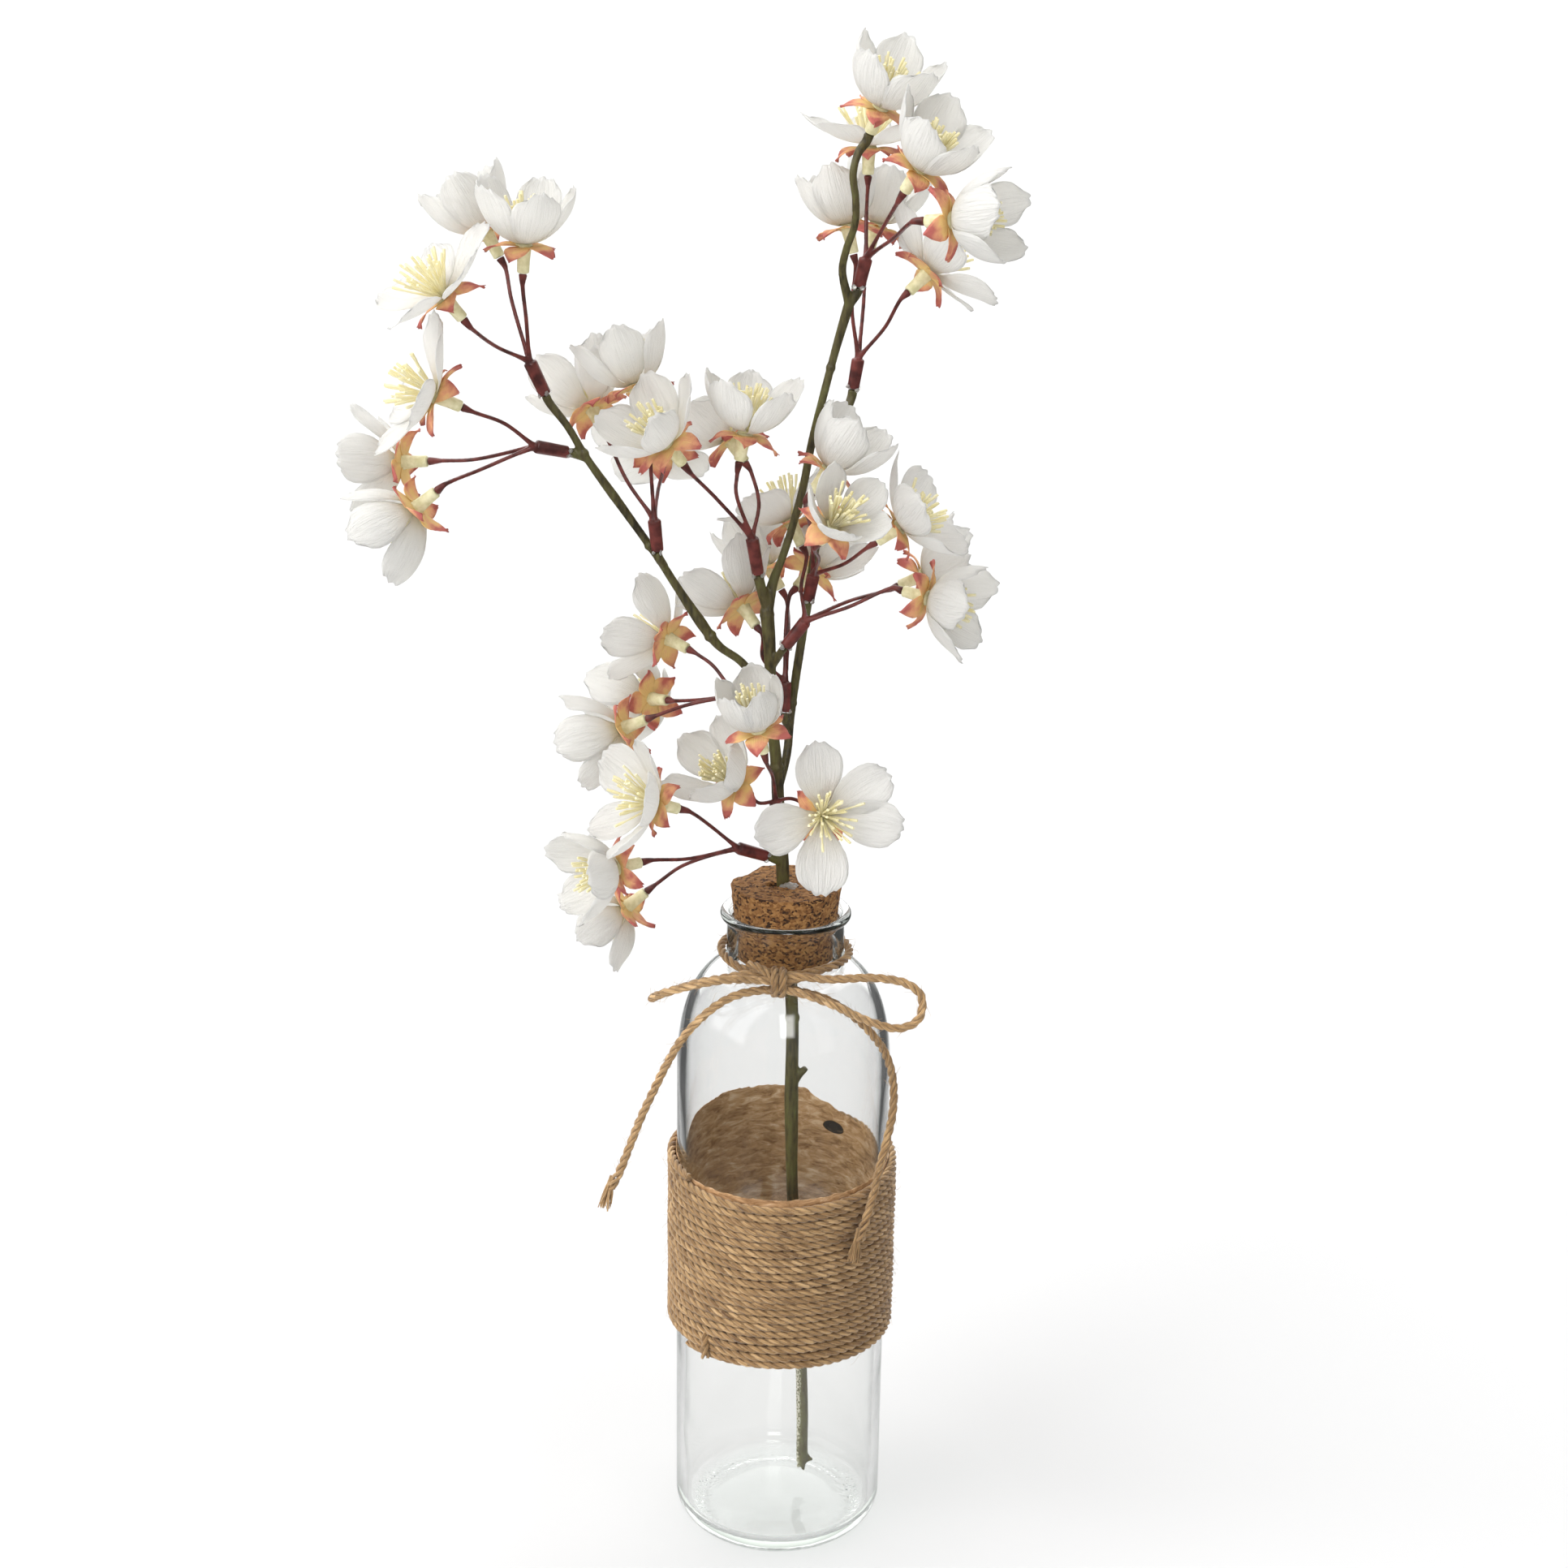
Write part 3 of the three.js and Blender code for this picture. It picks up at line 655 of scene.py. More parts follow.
for vertex in shape.verts:
    x, y, z = vertex.co
    out = Vector((x, y))
    grit = noise.noise(vertex.co * 900) * 0.22 * MM + noise.noise(vertex.co * 330) * 0.3 * MM
    if z > (CORK_TOP - 0.2) * MM:
        fall = max(0.0, 1 - ((out - PIT).length / PIT_WIDTH) ** 2)
        vertex.co.z += (grit if out.length > HOLE else 0) - PIT_DEPTH * fall
    elif z > (CORK_FOOT + 0.3) * MM:
        held = 0.3 if z < NECK_TOP else 1
        vertex.co += out.to_3d().normalized() * (grit - 0.1 * MM) * held
    turn = math.degrees(math.atan2(y, x))
    chip = sum(deep * max(0.0, 1 - abs(turn - at) / wide) for at, wide, deep in CHIPS)
    if chip > 0 and z > (CORK_TOP - 3) * MM and out.length > CHIP_INSIDE:
        lost = chip * (out.length - CHIP_INSIDE) / (CORK_WIDE * MM - CHIP_INSIDE)
        vertex.co -= out.to_3d().normalized() * CHIP_IN * lost + Vector((0, 0, CHIP_DOWN * lost))
plug = keep("cork_plug", shape)
CORK_DARK, CORK, CORK_PALE = (0.035, 0.014, 0.004), (0.21, 0.088, 0.023), (0.4, 0.2, 0.064)
GRAINS_EACH_METRE, WARP = 950, (1.6 * MM, 1.6 * MM, 1.6 * MM)
cork, tree, shader = finish_of("pressed_cork", Roughness=0.9)
place = object_place(tree)
warp = put(tree, "ShaderNodeTexNoise", {"Vector": place, "Scale": 420.0, "Detail": 2.0})
bent = vectors(tree, "ADD", place, vectors(tree, "MULTIPLY", warp.outputs["Color"], WARP))
pressed = vectors(tree, "MULTIPLY", bent, (1, 1, 1.3))
grains = put(tree, "ShaderNodeTexVoronoi", {"Vector": pressed, "Scale": GRAINS_EACH_METRE}).outputs
shade = put(tree, "ShaderNodeSeparateColor", {"Color": grains["Color"]}).outputs[0]
fleck = grain(tree, pressed, 1700, 4.0, 0.7)
color_by(shader, mean(tree, shade, fleck), (0.3, CORK_DARK), (0.39, CORK), (0.72, CORK_PALE))
emboss(shader, figure(tree, "SUBTRACT", fleck, grains["Distance"]), 0.8, 0.6 * MM)
dress(plug, cork, "cork", "cork_stopper")

# Stems: moulded plastic over wire, olive brown, with joint rings, knuckles and short stubs that
# the sprigs' sleeves sit on. The main stem goes down through the cork and is cut off ragged, with
# its foot paler in patches on the left, low down.
Bloom = namedtuple("Bloom", "foot turn tilt spread bend")
SPRIGS = {
    "a": ((-80, -14, 422.5), (-84.5, -16, 433), [
        ((-102, -44, 450.5), -160, 50, 70, (-93.5, -28, 439.5)),
        ((-95, -3, 464.5), 165, 60, 30, (-90.5, -10.5, 451.5)),
        ((-85, -27, 462.5), -45, 85, 36, (-85, -20.5, 447.5)),
    ]),
    "b": ((-73, -13, 403.5), (-83, -17, 406), [
        ((-104.5, -34, 421.5), -165, 25, 70, (-92, -24, 414.5)),
        ((-120, -3.5, 398), 170, -5, 50, (-103, -11.5, 400.5)),
        ((-113, -35, 394.5), 170, -40, 42, (-100.5, -24.5, 399.5)),
    ]),
    "c": ((-44, -12, 371), (-45, -13, 381.5), [
        ((-63, 6, 407.5), 130, 45, 44, (-54.5, -3.5, 392.5)),
        ((-48, -15.5, 417), 140, 65, 34, (-46, -12.5, 396.5)),
        ((-44, 19, 394.5), 100, 20, 62, (-44.5, 2, 388.5)),
    ]),
    "d": ((-11, -4, 362), (-13, -7, 374.5), [
        ((-35, -29, 403.5), -150, 50, 42, (-25, -16, 390)),
        ((-17, -25, 404), 0, 80, 36, (-18, -14.5, 390)),
        ((-16, 6, 397.5), 150, 50, 56, (-11, -1.5, 385)),
    ]),
    "e": ((20.5, -0.5, 456.5), (22.5, -1, 465.5), [
        ((23, 15, 490.5), 125, 90, 68, (22.5, 5.5, 478)),
        ((33, -32, 489.5), -35, 55, 32, (27.5, -14, 477)),
        ((39, -45, 482), -25, 5, 30, (30.5, -19.5, 474)),
    ]),
    "f": ((20, 27, 419), (21.5, 27, 429), [
        ((37.5, 20, 452.5), 25, 40, 74, (30, 24, 440)),
        ((19, 26, 464), 155, 75, 30, (19, 26.5, 446)),
        ((25, 50, 462.5), 15, 75, 32, (23, 36.5, 444.5)),
    ]),
    "g": ((6, 7, 350.5), (7.5, 5, 359.5), [
        ((28, -15, 376), -5, 35, 54, (17.5, -3.5, 365.5)),
        ((9, -40.5, 381.5), -55, 45, 42, (9, -14, 369.5)),
        ((6.5, -24, 394), 5, 55, 28, (6.5, -7, 377)),
    ]),
    "h": ((-1.5, -4, 337), (5, -5, 346), [
        ((37.5, -3, 356.5), -20, -10, 36, (19.5, -4, 351)),
        ((37.5, 27, 351), -5, 25, 38, (19, 8.5, 349.5)),
        ((3.5, 19.5, 366.5), 150, 60, 58, (3.5, 5.5, 355)),
    ]),
    "i": ((-1.5, 6, 311), (-1.5, 8, 321), [
        ((-3.5, 44, 345), 150, 55, 26, (-0.5, 23, 334.5)),
        ((2, 22, 351), 45, 35, 34, (-1.5, 14, 338.5)),
        ((-11.5, 5, 341.5), 135, 40, 52, (-9, 6.5, 329.5)),
    ]),
    "k": ((-9.5, -3, 316), (-18, -6, 320), [
        ((-35, 11, 331.5), 145, 15, 58, (-25.5, 1, 328)),
        ((-42.5, 18, 311), 130, -10, 44, (-30.5, 4, 315.5)),
        ((-48, -12, 313), 165, -25, 38, (-33.5, -8.5, 317.5)),
    ]),
    "l": ((-7, -4, 262), (-16.5, -9, 266.5), [
        ((-36, -34, 289), -155, 20, 54, (-27, -19.5, 279)),
        ((-49, -26, 267), -152, -3, 38, (-33, -16, 265)),
        ((-48.5, -8, 249.5), -180, -40, 42, (-35, -8.5, 260)),
    ]),
    "m": ((-3.5, -6, 270.5), (-4, -9, 283.5), [
        ((-8, -34, 309), -135, 72, 23, (-5, -19.5, 295.5)),
        ((-12.5, -16, 287.5), -145, 40, 34, (-8, -12, 284)),
        ((9.5, -26, 286), -75, 10, 78, (2, -16, 287)),
    ]),
}
for letter, (seat, top, blooms) in SPRIGS.items():
    SPRIGS[letter] = (seat, top, [Bloom(*bloom) for bloom in blooms])
TIP_BLOOM = Bloom((22.5, -13, 505.5), -35, 65, 34, None)
SEAT_GAP = 0.3
STUB_RADIUS = 1.6
STEM_VOXEL, STEM_SMOOTHING = 0.46 * MM, 3


def facing(bloom):
    """The way a flower faces."""
    turn, tilt = math.radians(bloom.turn), math.radians(bloom.tilt)
    return Vector((math.cos(tilt) * math.cos(turn), math.cos(tilt) * math.sin(turn), math.sin(tilt)))


def sleeve_way(letter):
    """The way a sprig's sleeve points."""
    seat, top, _ = SPRIGS[letter]
    return (Vector(top) - Vector(seat)).normalized()


def run_in(end, direction, lead):
    """The last two points of a stem, which runs straight into what sits on its end."""
    return [tuple(Vector(end) - direction * back) for back in (lead, SEAT_GAP)]


def limb(route, radii, step=MM):
    """A strand along the route, whose radius in millimetres changes evenly through the radii."""
    line = smooth_line(route, step)
    made = []
    for i, point in enumerate(line):
        along = i / (len(line) - 1) * (len(radii) - 1)
        k = min(int(along), len(radii) - 2)
        made.append((point, radii[k] + (radii[k + 1] - radii[k]) * (along - k)))
    return made


def stub(start, letter, radius=STUB_RADIUS):
    """A short stub that leaves a stem and holds a sprig's sleeve."""
    ends = run_in(SPRIGS[letter][0], sleeve_way(letter), 2)
    return limb([start, *ends], [radius * 0.9, radius, radius], 0.5 * MM)


def knuckle(route, near, long, swell):
    """A swelling on a stem at the point of its line nearest the given one."""
    step = 0.4
    line = smooth_line(route, step * MM)
    centre = min(range(len(line)), key=lambda k: (line[k] - Vector(near) * MM).length)
    half = round(long / 2 / step)
    part = line[max(0, centre - half):centre + half + 1]
    whole = len(part) + 0.2
    return [(p, swell * math.sin(math.pi * (i + 0.6) / whole) ** 0.5) for i, p in enumerate(part)]


def moulded(name, strands, voxel, smoothing):
    """Tubes fused into one moulding, with the lines where they meet softened."""
    piece = tubes(name + "_parts", strands, 2 * MM, 3)
    fused = piece.modifiers.new("fused", "REMESH")
    fused.mode = "VOXEL"
    fused.voxel_size = voxel
    soft = piece.modifiers.new("soft", "SMOOTH")
    soft.iterations = smoothing
    return settled(name, piece)


CUT_END = (9.4, 2, 17.7)
TRUNK = [
    CUT_END, (8.5, 2, 55), (4, 1, 130), (3, 0, 170), (3, 0, 195), (2, 0, 214), (-1, 0, 249),
    (-1.5, 0, 259), (-3, 0, 277), (-4, 0, 294), (-6, 0, 312), (-6.5, 0, 327), (-7, -1, 338),
    (-8, -1, 349),
]
TRUNK_RADII = (2.2, 2.3, 2.2, 2.3, 2.2, 2.6, 2.3, 2.4, 2.4, 2.2, 1.85, 2.5)
CENTRE = [
    (-8, -1, 348), (-6, 0, 358), (-2.5, 0, 368), (0.5, 1, 378), (3.5, 1, 390), (6, 2, 404),
    (9, 2, 417.5), (13.5, 2, 436), (17.5, 0, 451),
]
TIP = [
    (17.5, 0, 451), (15, -4, 461.5), (16, -8, 469), (18.5, -12, 477.5), (18.5, -14, 485.5),
    (17.5, -15, 493), (19, -14, 499.5), *run_in(TIP_BLOOM.foot, facing(TIP_BLOOM), 3),
]
NUB = [(3.5, 0, 174), (5.5, -0.5, 178), (8, -1, 181)]
LEFT = [
    (-6, 0, 315), (-9.5, -1, 322), (-16.5, -2, 331), (-24, -4, 337), (-31, -6, 347), (-39, -7, 359.5),
    (-43.5, -8, 367), (-55, -10, 384), (-67, -12, 401.5), (-73, -13, 412),
]
BACK = [
    (-3.5, 0.5, 284), (-0.5, 5, 296), (0.5, 10, 307.5), (2, 11, 320.5), (4, 11, 335.5), (6, 12, 348.5),
    (7.5, 12, 363), (10, 12, 377), (13.5, 17, 395.5), (17, 24, 409.5),
]
LEFT += run_in(SPRIGS["a"][0], sleeve_way("a"), 3)
BACK += run_in(SPRIGS["f"][0], sleeve_way("f"), 3)

SPLINTERS = [(2.6, 1.2, -0.2), (-1.8, -1, -2.2), (3.8, -0.9, 1.6), (0.4, -1.6, -3), (2.6, 0, 2.6)]
STEMS = {
    "main_stem": [
        *[limb([Vector(CUT_END) + Vector((0, 0, 1)), Vector(CUT_END) + Vector(way)], (1.6, 1, 0.5),
               0.3 * MM) for way in SPLINTERS],
        limb(TRUNK, TRUNK_RADII), limb(CENTRE, (2.3, 1.4, 1.4, 1.45, 1.4, 1.4, 1.8)),
        limb(TIP, (1.7, 1.35, 1.3, 1.25, 1.25, 1.3, 1.7)), limb(NUB, (1.6, 1.5, 1.2), 0.5 * MM),
        stub((-8, -1, 349), "d", 1.8), stub((17.5, 0, 450.5), "e"), stub((-6.3, 0, 328), "h", 1.4),
        stub((-5.8, -0.3, 312), "k"), stub((-1.5, 0, 258), "l"), stub((-2.5, 0, 266), "m"),
        knuckle(TRUNK, (-8, -1, 347), 1.6, 2.75), knuckle(TRUNK, (2.5, 0, 200), 5, 2.8),
        knuckle(TRUNK, (-4, 0, 293), 4, 2.75), knuckle(TRUNK, (-2, 0, 268), 3, 2.7),
        knuckle(CENTRE, (12, 2, 430), 3, 1.75),
    ],
    "left_branch": [
        limb(LEFT, (1.5, 1.5, 1.45, 2, 1.5, 1.4, 1.4, 1.6, 1.35, 1.3, 1.5)),
        stub((-67, -12, 401.5), "b"), stub((-42, -8, 365), "c"),
        knuckle(LEFT, (-26.5, -4.6, 340.5), 3, 2.3), knuckle(LEFT, (-47, -8.7, 372), 3, 1.9),
        knuckle(LEFT, (-68, -12, 403), 3, 1.9),
    ],
    "back_branch": [
        limb(BACK, (1.6, 1.55, 1.55, 1.6, 1.5, 1.5, 1.45, 1.4, 1.4, 1.7)),
        stub((4.6, 11.2, 339), "g", 1.4), stub((0, 8.5, 304), "i", 1.4),
        knuckle(BACK, (1.2, 10.6, 313), 3, 1.85), knuckle(BACK, (6.5, 12, 355), 3, 1.8),
    ],
}
BARK_DARK, BARK, BARK_GREEN = (0.03, 0.024, 0.01), (0.088, 0.073, 0.024), (0.118, 0.118, 0.032)
BARK_PALE_FOOT = (0.55, 0.52, 0.43)
PALE_FOOT_TOP, PALE_FOOT_FULL, PALE_FOOT_RIGHT, PALE_FOOT_LEFT = 85 * MM, 65 * MM, 9 * MM, 7.5 * MM
bark, tree, shader = finish_of("moulded_bark", Roughness=0.42)
place = object_place(tree)
streak = grain(tree, place, (900, 900, 198), 3.0)
patch = grain(tree, place, 60, 2.0)
grit = grain(tree, place, 1500, 2.0)
split = parts_of(tree, place)
# The stem is paler in patches on the left, towards the bottom of its foot.
foot = ranged(tree, split["Z"], PALE_FOOT_TOP, PALE_FOOT_FULL)
side = ranged(tree, split["X"], PALE_FOOT_RIGHT, PALE_FOOT_LEFT)
pale_patches = ranged(tree, grit, 0.4, 0.55, high=0.5)
pale_foot = figure(tree, "MULTIPLY", figure(tree, "MULTIPLY", foot, side), pale_patches)
color_by(shader, figure(tree, "ADD", mean(tree, streak, patch), pale_foot), (0.36, BARK_DARK),
         (0.5, BARK), (0.66, BARK_GREEN), (0.95, BARK_PALE_FOOT))
tree.links.new(ranged(tree, streak, low=0.3, high=0.55), shader.inputs["Roughness"])
emboss(shader, figure(tree, "ADD", streak, grit), 0.5, 0.3 * MM)
for name, strands in STEMS.items():
    dress(moulded(name + "_moulding", strands, STEM_VOXEL, STEM_SMOOTHING), bark, "bark", name)

# Sprigs: each is a sleeve pushed over a stub, with three wiry stalks that leave it in a web and
# end in small cups. Glossy maroon plastic, moulded in one.
SLEEVE_FOOT, SLEEVE_HEAD = 2.1, 2.3
STALK_RADII = (1.6, 0.95, 0.72, 0.7, 0.7, 0.7, 0.7, 0.7, 0.75, 1.5)
SLEEVE_DARK, SLEEVE_RED = (0.065, 0.015, 0.013), (0.165, 0.036, 0.03)
SPRIG_VOXEL, SPRIG_SMOOTHING = 0.37 * MM, 2
maroon, tree, shader = finish_of("maroon_plastic", Roughness=0.32)
patch = grain(tree, object_place(tree), 260, 3.0)
color_by(shader, patch, (0.36, SLEEVE_DARK), (0.6, SLEEVE_RED))
emboss(shader, patch, 0.35, 0.4 * MM)
for letter, (seat, top, blooms) in SPRIGS.items():
    root = Vector(top) - sleeve_way(letter) * 2
    strands = [limb([seat, top], (SLEEVE_FOOT, SLEEVE_HEAD), 0.8 * MM)]
    for bloom in blooms:
        route = [root, top, bloom.bend, *run_in(bloom.foot, facing(bloom), 4)]
        strands.append(limb(route, STALK_RADII, 0.6 * MM))
    sprig = moulded(f"sprig_{letter}_moulding", strands, SPRIG_VOXEL, SPRIG_SMOOTHING)
    dress(sprig, maroon, "sleeve", f"sprig_{letter}")

# Flowers: five petals cut from thin ivory fabric, pressed into a cup and threaded, with a calyx of
# five dyed sepals behind them, on a pale tube. The tube sits in the cup at its stalk's end.
PETALS = 5
TUBE, TUBE_FOOT, TUBE_HEAD = 9 * MM, 1.9, 2.3
PETAL_LONG, PETAL_HALF = 24.5 * MM, 9.4 * MM
SEPAL_LONG, SEPAL_HALF = 11.6 * MM, 4 * MM
FABRIC = 0.22 * MM
PETAL_GRID, SEPAL_GRID, PROFILE_STEPS = (12, 15), (7, 10), 60
LEAST_RADIUS, FLAT_BEND, MOST_WRAP = 4.5 * MM, 22, 1.25
CLOSED_SPREAD, SPREAD_RANGE = 30, 45
STAMENS, GOLDEN_TURN = 34, 0.382
STAMEN_RADII = (0.42, 0.4, 0.38, 0.36, 0.33, 0.3, 0.52, 0.46)
PETAL_WIDTHS = [(0, 0.22), (0.12, 0.36), (0.3, 0.7), (0.45, 0.92), (0.6, 1), (0.74, 0.99),
                (0.87, 0.87), (1, 0.56)]
SEPAL_WIDTHS = [(0, 0.5), (0.2, 0.84), (0.4, 1), (0.6, 0.88), (0.8, 0.54), (0.93, 0.26), (1, 0.06)]


def standing(bloom):
    """The turn that sets a flower on its foot. Its own X is level and its own Z is its axis."""
    axis = facing(bloom)
    turn = math.radians(bloom.turn)
    level = Vector((-math.sin(turn), math.cos(turn), 0))
    made = Matrix((level, axis.cross(level), axis)).transposed().to_4x4()
    made.translation = Vector(bloom.foot) * MM
    return made


def leaf(shape, grid, outline, long, half, lean_at, root, angle, cup, offset, wave, notch):
    """Bends one flat grid into a petal or sepal. The lean at each share of its length is from the
    axis, cup is how closely it wraps round the axis, and offset lifts one edge over its neighbour."""
    columns, rows = grid
    made = bmesh.ops.create_grid(shape, x_segments=columns, y_segments=rows, size=1, calc_uvs=True)
    profile = []
    radius, height = root
    for k in range(PROFILE_STEPS + 1):
        lean = math.radians(lean_at(k / PROFILE_STEPS))
        profile.append((radius, height, lean))
        radius += long / PROFILE_STEPS * math.sin(lean)
        height += long / PROFILE_STEPS * math.cos(lean)
    phase = chance.uniform(0, 2 * math.pi)
    turned = Matrix.Rotation(angle, 3, "Z")
    for vertex in made["verts"]:
        across, along = vertex.co.x, (vertex.co.y + 1) / 2
        rim = 1 + 0.02 * math.sin(9 * across + phase) + 0.006 * math.sin(17 * across + 2 * phase)
        at = along * (1 - notch * abs(across) ** 2.2 * along ** 4) * (1 + (rim - 1) * along ** 6)
        k = min(int(at * PROFILE_STEPS), PROFILE_STEPS - 1)
        share = at * PROFILE_STEPS - k
        r, h, lean = (profile[k][n] + (profile[k + 1][n] - profile[k][n]) * share for n in range(3))
        width = half * between(outline, along) * across
        bend = cup * math.cos(lean) / max(r, LEAST_RADIUS) + FLAT_BEND
        turn = max(-MOST_WRAP, min(MOST_WRAP, width * bend))
        inner = Vector((-math.cos(lean), 0, math.sin(lean)))
        ripple = wave * along ** 1.5 * (abs(across) ** 1.5 * math.sin(5 * along + 2.2 * across + phase)
                                        + 0.35 * math.sin(3 * across + 7 * along + 2 * phase))
        lift = (1 - math.cos(turn)) / bend + offset * across * min(1, along * 3) + ripple
        place = Vector((r, 0, h)) + inner * lift + Vector((0, math.sin(turn) / bend, 0))
        vertex.co = turned @ place


def cloth(name, shape, bloom):
    """Stands the bent grids on the flower's foot and gives them the fabric's thickness."""
    bmesh.ops.transform(shape, matrix=standing(bloom), verts=shape.verts)
    piece = keep(name, shape)
    thicken(piece, "fabric", FABRIC)
    return piece


def petal_lean(spread, bowl, curl):
    """How a petal leans: outwards from its claw, then as open as the flower, less towards the rim of
    a bowl-shaped one, and then its own curled tip."""
    first = 55 + 0.35 * spread
    last = (spread - first / 3) * 1.5
    return lambda s: (last + (first - last) * (1 - s) ** 2 + bowl * (0.5 - s)
                      + curl * max(0, s - 0.7) / 0.3)


def corolla(name, bloom, angles, size):
    """The petals, each laid a little higher than the last."""
    shape = bmesh.new()
    shape.loops.layers.uv.new("UVMap")
    openness = min(1, max(0, (bloom.spread - CLOSED_SPREAD) / SPREAD_RANGE))
    for k, angle in enumerate(angles):
        spread = bloom.spread + 3 - 5 * openness + chance.uniform(-4, 4)
        lean = petal_lean(spread, 26 - 14 * openness, chance.uniform(-24, 10) + 16 * openness)
        leaf(shape, PETAL_GRID, PETAL_WIDTHS, size * PETAL_LONG * chance.uniform(0.94, 1.03),
             size * PETAL_HALF * chance.uniform(0.8, 1.04), lean,
             (2 * MM, TUBE + (0.35 + 0.12 * k) * MM), math.radians(angle), 0.9, 0.5 * MM,
             chance.uniform(0.4, 0.95) * MM, chance.uniform(0.05, 0.15))
    return cloth(name, shape, bloom)


def calyx(name, bloom, angles):
    """The sepals, which curl back between the petals."""
    shape = bmesh.new()
    shape.loops.layers.uv.new("UVMap")
    for k, angle in enumerate(angles):
        first, last = chance.uniform(70, 84), chance.uniform(112, 165)
        leaf(shape, SEPAL_GRID, SEPAL_WIDTHS, SEPAL_LONG * chance.uniform(0.88, 1.08), SEPAL_HALF,
             lambda s: first + (last - first) * s ** 1.2, (1.2 * MM, TUBE - (1.1 - 0.08 * k) * MM),
             math.radians(angle + 180 / PETALS), 0.5, 0.15 * MM, chance.uniform(0.6, 1.2) * MM, 0)
    return cloth(name, shape, bloom)


def receptacle(name, bloom):
    """The tube with its swollen head, from the stalk's cup to the petals."""
    shape = spun([
        (0, 0), (TUBE_FOOT - 0.3, 0), (TUBE_FOOT, 0.3), (TUBE_FOOT + 0.1, 4), (TUBE_HEAD, 7.6),
        (TUBE_HEAD + 0.4, 8.6), (TUBE_HEAD, 9.3), (1.2, 9.6), (0, 9.4),
    ], 20)
    bmesh.ops.transform(shape, matrix=standing(bloom), verts=shape.verts)
    return keep(name, shape)


def stamens(name, bloom):
    """The threads, which stand closer in a less open flower. Each has a thicker head."""
    seat = standing(bloom)
    strands = []
    open_most = min(44, bloom.spread * 0.6 + 4)
    for k in range(STAMENS):
        turn = 2 * math.pi * (k * GOLDEN_TURN + chance.uniform(-0.06, 0.06))
        lean = math.radians(open_most * math.sqrt((k + 0.7) / STAMENS) * chance.uniform(0.8, 1.15))
        long = chance.uniform(10.5, 16.5) * MM
        bow, sway = chance.uniform(-0.3, 0.4), chance.uniform(-0.12, 0.12)
        strand = []
        for step, thick in enumerate(STAMEN_RADII):
            far = step / (len(STAMEN_RADII) - 1)
            out = 0.6 * MM + long * (math.sin(lean) * far + bow * 0.3 * far * (1 - far))
            spin = turn + sway * far
            place = (out * math.cos(spin), out * math.sin(spin), TUBE + long * math.cos(lean) * far)
            strand.append((seat @ Vector(place), thick))
        strands.append(strand)
    return tubes(name, strands, 2 * MM, 1)


def light_through(shader, color, share):
    """Lets a share of the light through a thin material, with a colour."""
    tree = shader.id_data
    through = put(tree, "ShaderNodeBsdfTranslucent", {"Color": (*color, 1)})
    thin = put(tree, "ShaderNodeMixShader", {0: share, 1: shader.outputs[0], 2: through.outputs[0]})
    tree.links.new(thin.outputs[0], tree.nodes["Material Output"].inputs["Surface"])


def along_leaf(tree, amount):
    """Where a point lies on its own petal or sepal, and its height there with an amount added."""
    flat = put(tree, "ShaderNodeUVMap", uv_map="UVMap").outputs[0]
    return flat, figure(tree, "ADD", parts_of(tree, flat)["Y"], amount)


PETAL_IVORY, PETAL_CREAM, PETAL_YELLOW = (0.89, 0.884, 0.863), (0.895, 0.878, 0.8), (0.92, 0.82, 0.48)
petal, tree, shader = finish_of("ivory_petal_fabric", Roughness=0.72, Sheen_Weight=0.1)
place = object_place(tree)
flat, height = along_leaf(tree, figure(tree, "MULTIPLY", grain(tree, place, 130, 2.0), 0.22))
color_by(shader, height, (0.12, PETAL_YELLOW), (0.32, PETAL_CREAM), (0.62, PETAL_IVORY))
vein = grain(tree, flat, (34, 3, 1), 3.0, 0.5, 0.5)
weave = figure(tree, "MULTIPLY", grain(tree, place, 1100, 2.0), 0.25)
emboss(shader, figure(tree, "ADD", vein, weave), 1.0, 0.7 * MM)
light_through(shader, PETAL_IVORY, 0.5)

SEPAL_YELLOW, SEPAL_ORANGE, SEPAL_ROSE = (0.92, 0.68, 0.27), (0.86, 0.46, 0.25), (0.56, 0.15, 0.135)
SEPAL_GLOW = (0.9, 0.5, 0.3)
sepal, tree, shader = finish_of("dyed_sepal_fabric", Roughness=0.7)
run = ranged(tree, grain(tree, object_place(tree), 210, 3.0), 0.3, 0.7, -0.32, 0.32)
flat, height = along_leaf(tree, run)
color_by(shader, height, (0.25, SEPAL_YELLOW), (0.55, SEPAL_ORANGE), (0.85, SEPAL_ROSE))
emboss(shader, grain(tree, flat, (16, 2, 1), 3.0), 0.6, 0.5 * MM)
light_through(shader, SEPAL_GLOW, 0.25)

tube_green, tree, shader = finish_of("pale_tube_plastic", Roughness=0.5)
blotch = grain(tree, object_place(tree), 500, 2.0)
color_by(shader, blotch, (0.35, (0.64, 0.6, 0.33)), (0.65, (0.8, 0.76, 0.5)))
emboss(shader, blotch, 0.3, 0.3 * MM)

thread, tree, shader = finish_of("stamen_thread", Roughness=0.6)
blotch = grain(tree, object_place(tree), 300, 2.0)
color_by(shader, blotch, (0.35, (0.95, 0.88, 0.55)), (0.65, (0.96, 0.93, 0.74)))
light_through(shader, (0.95, 0.9, 0.64), 0.35)

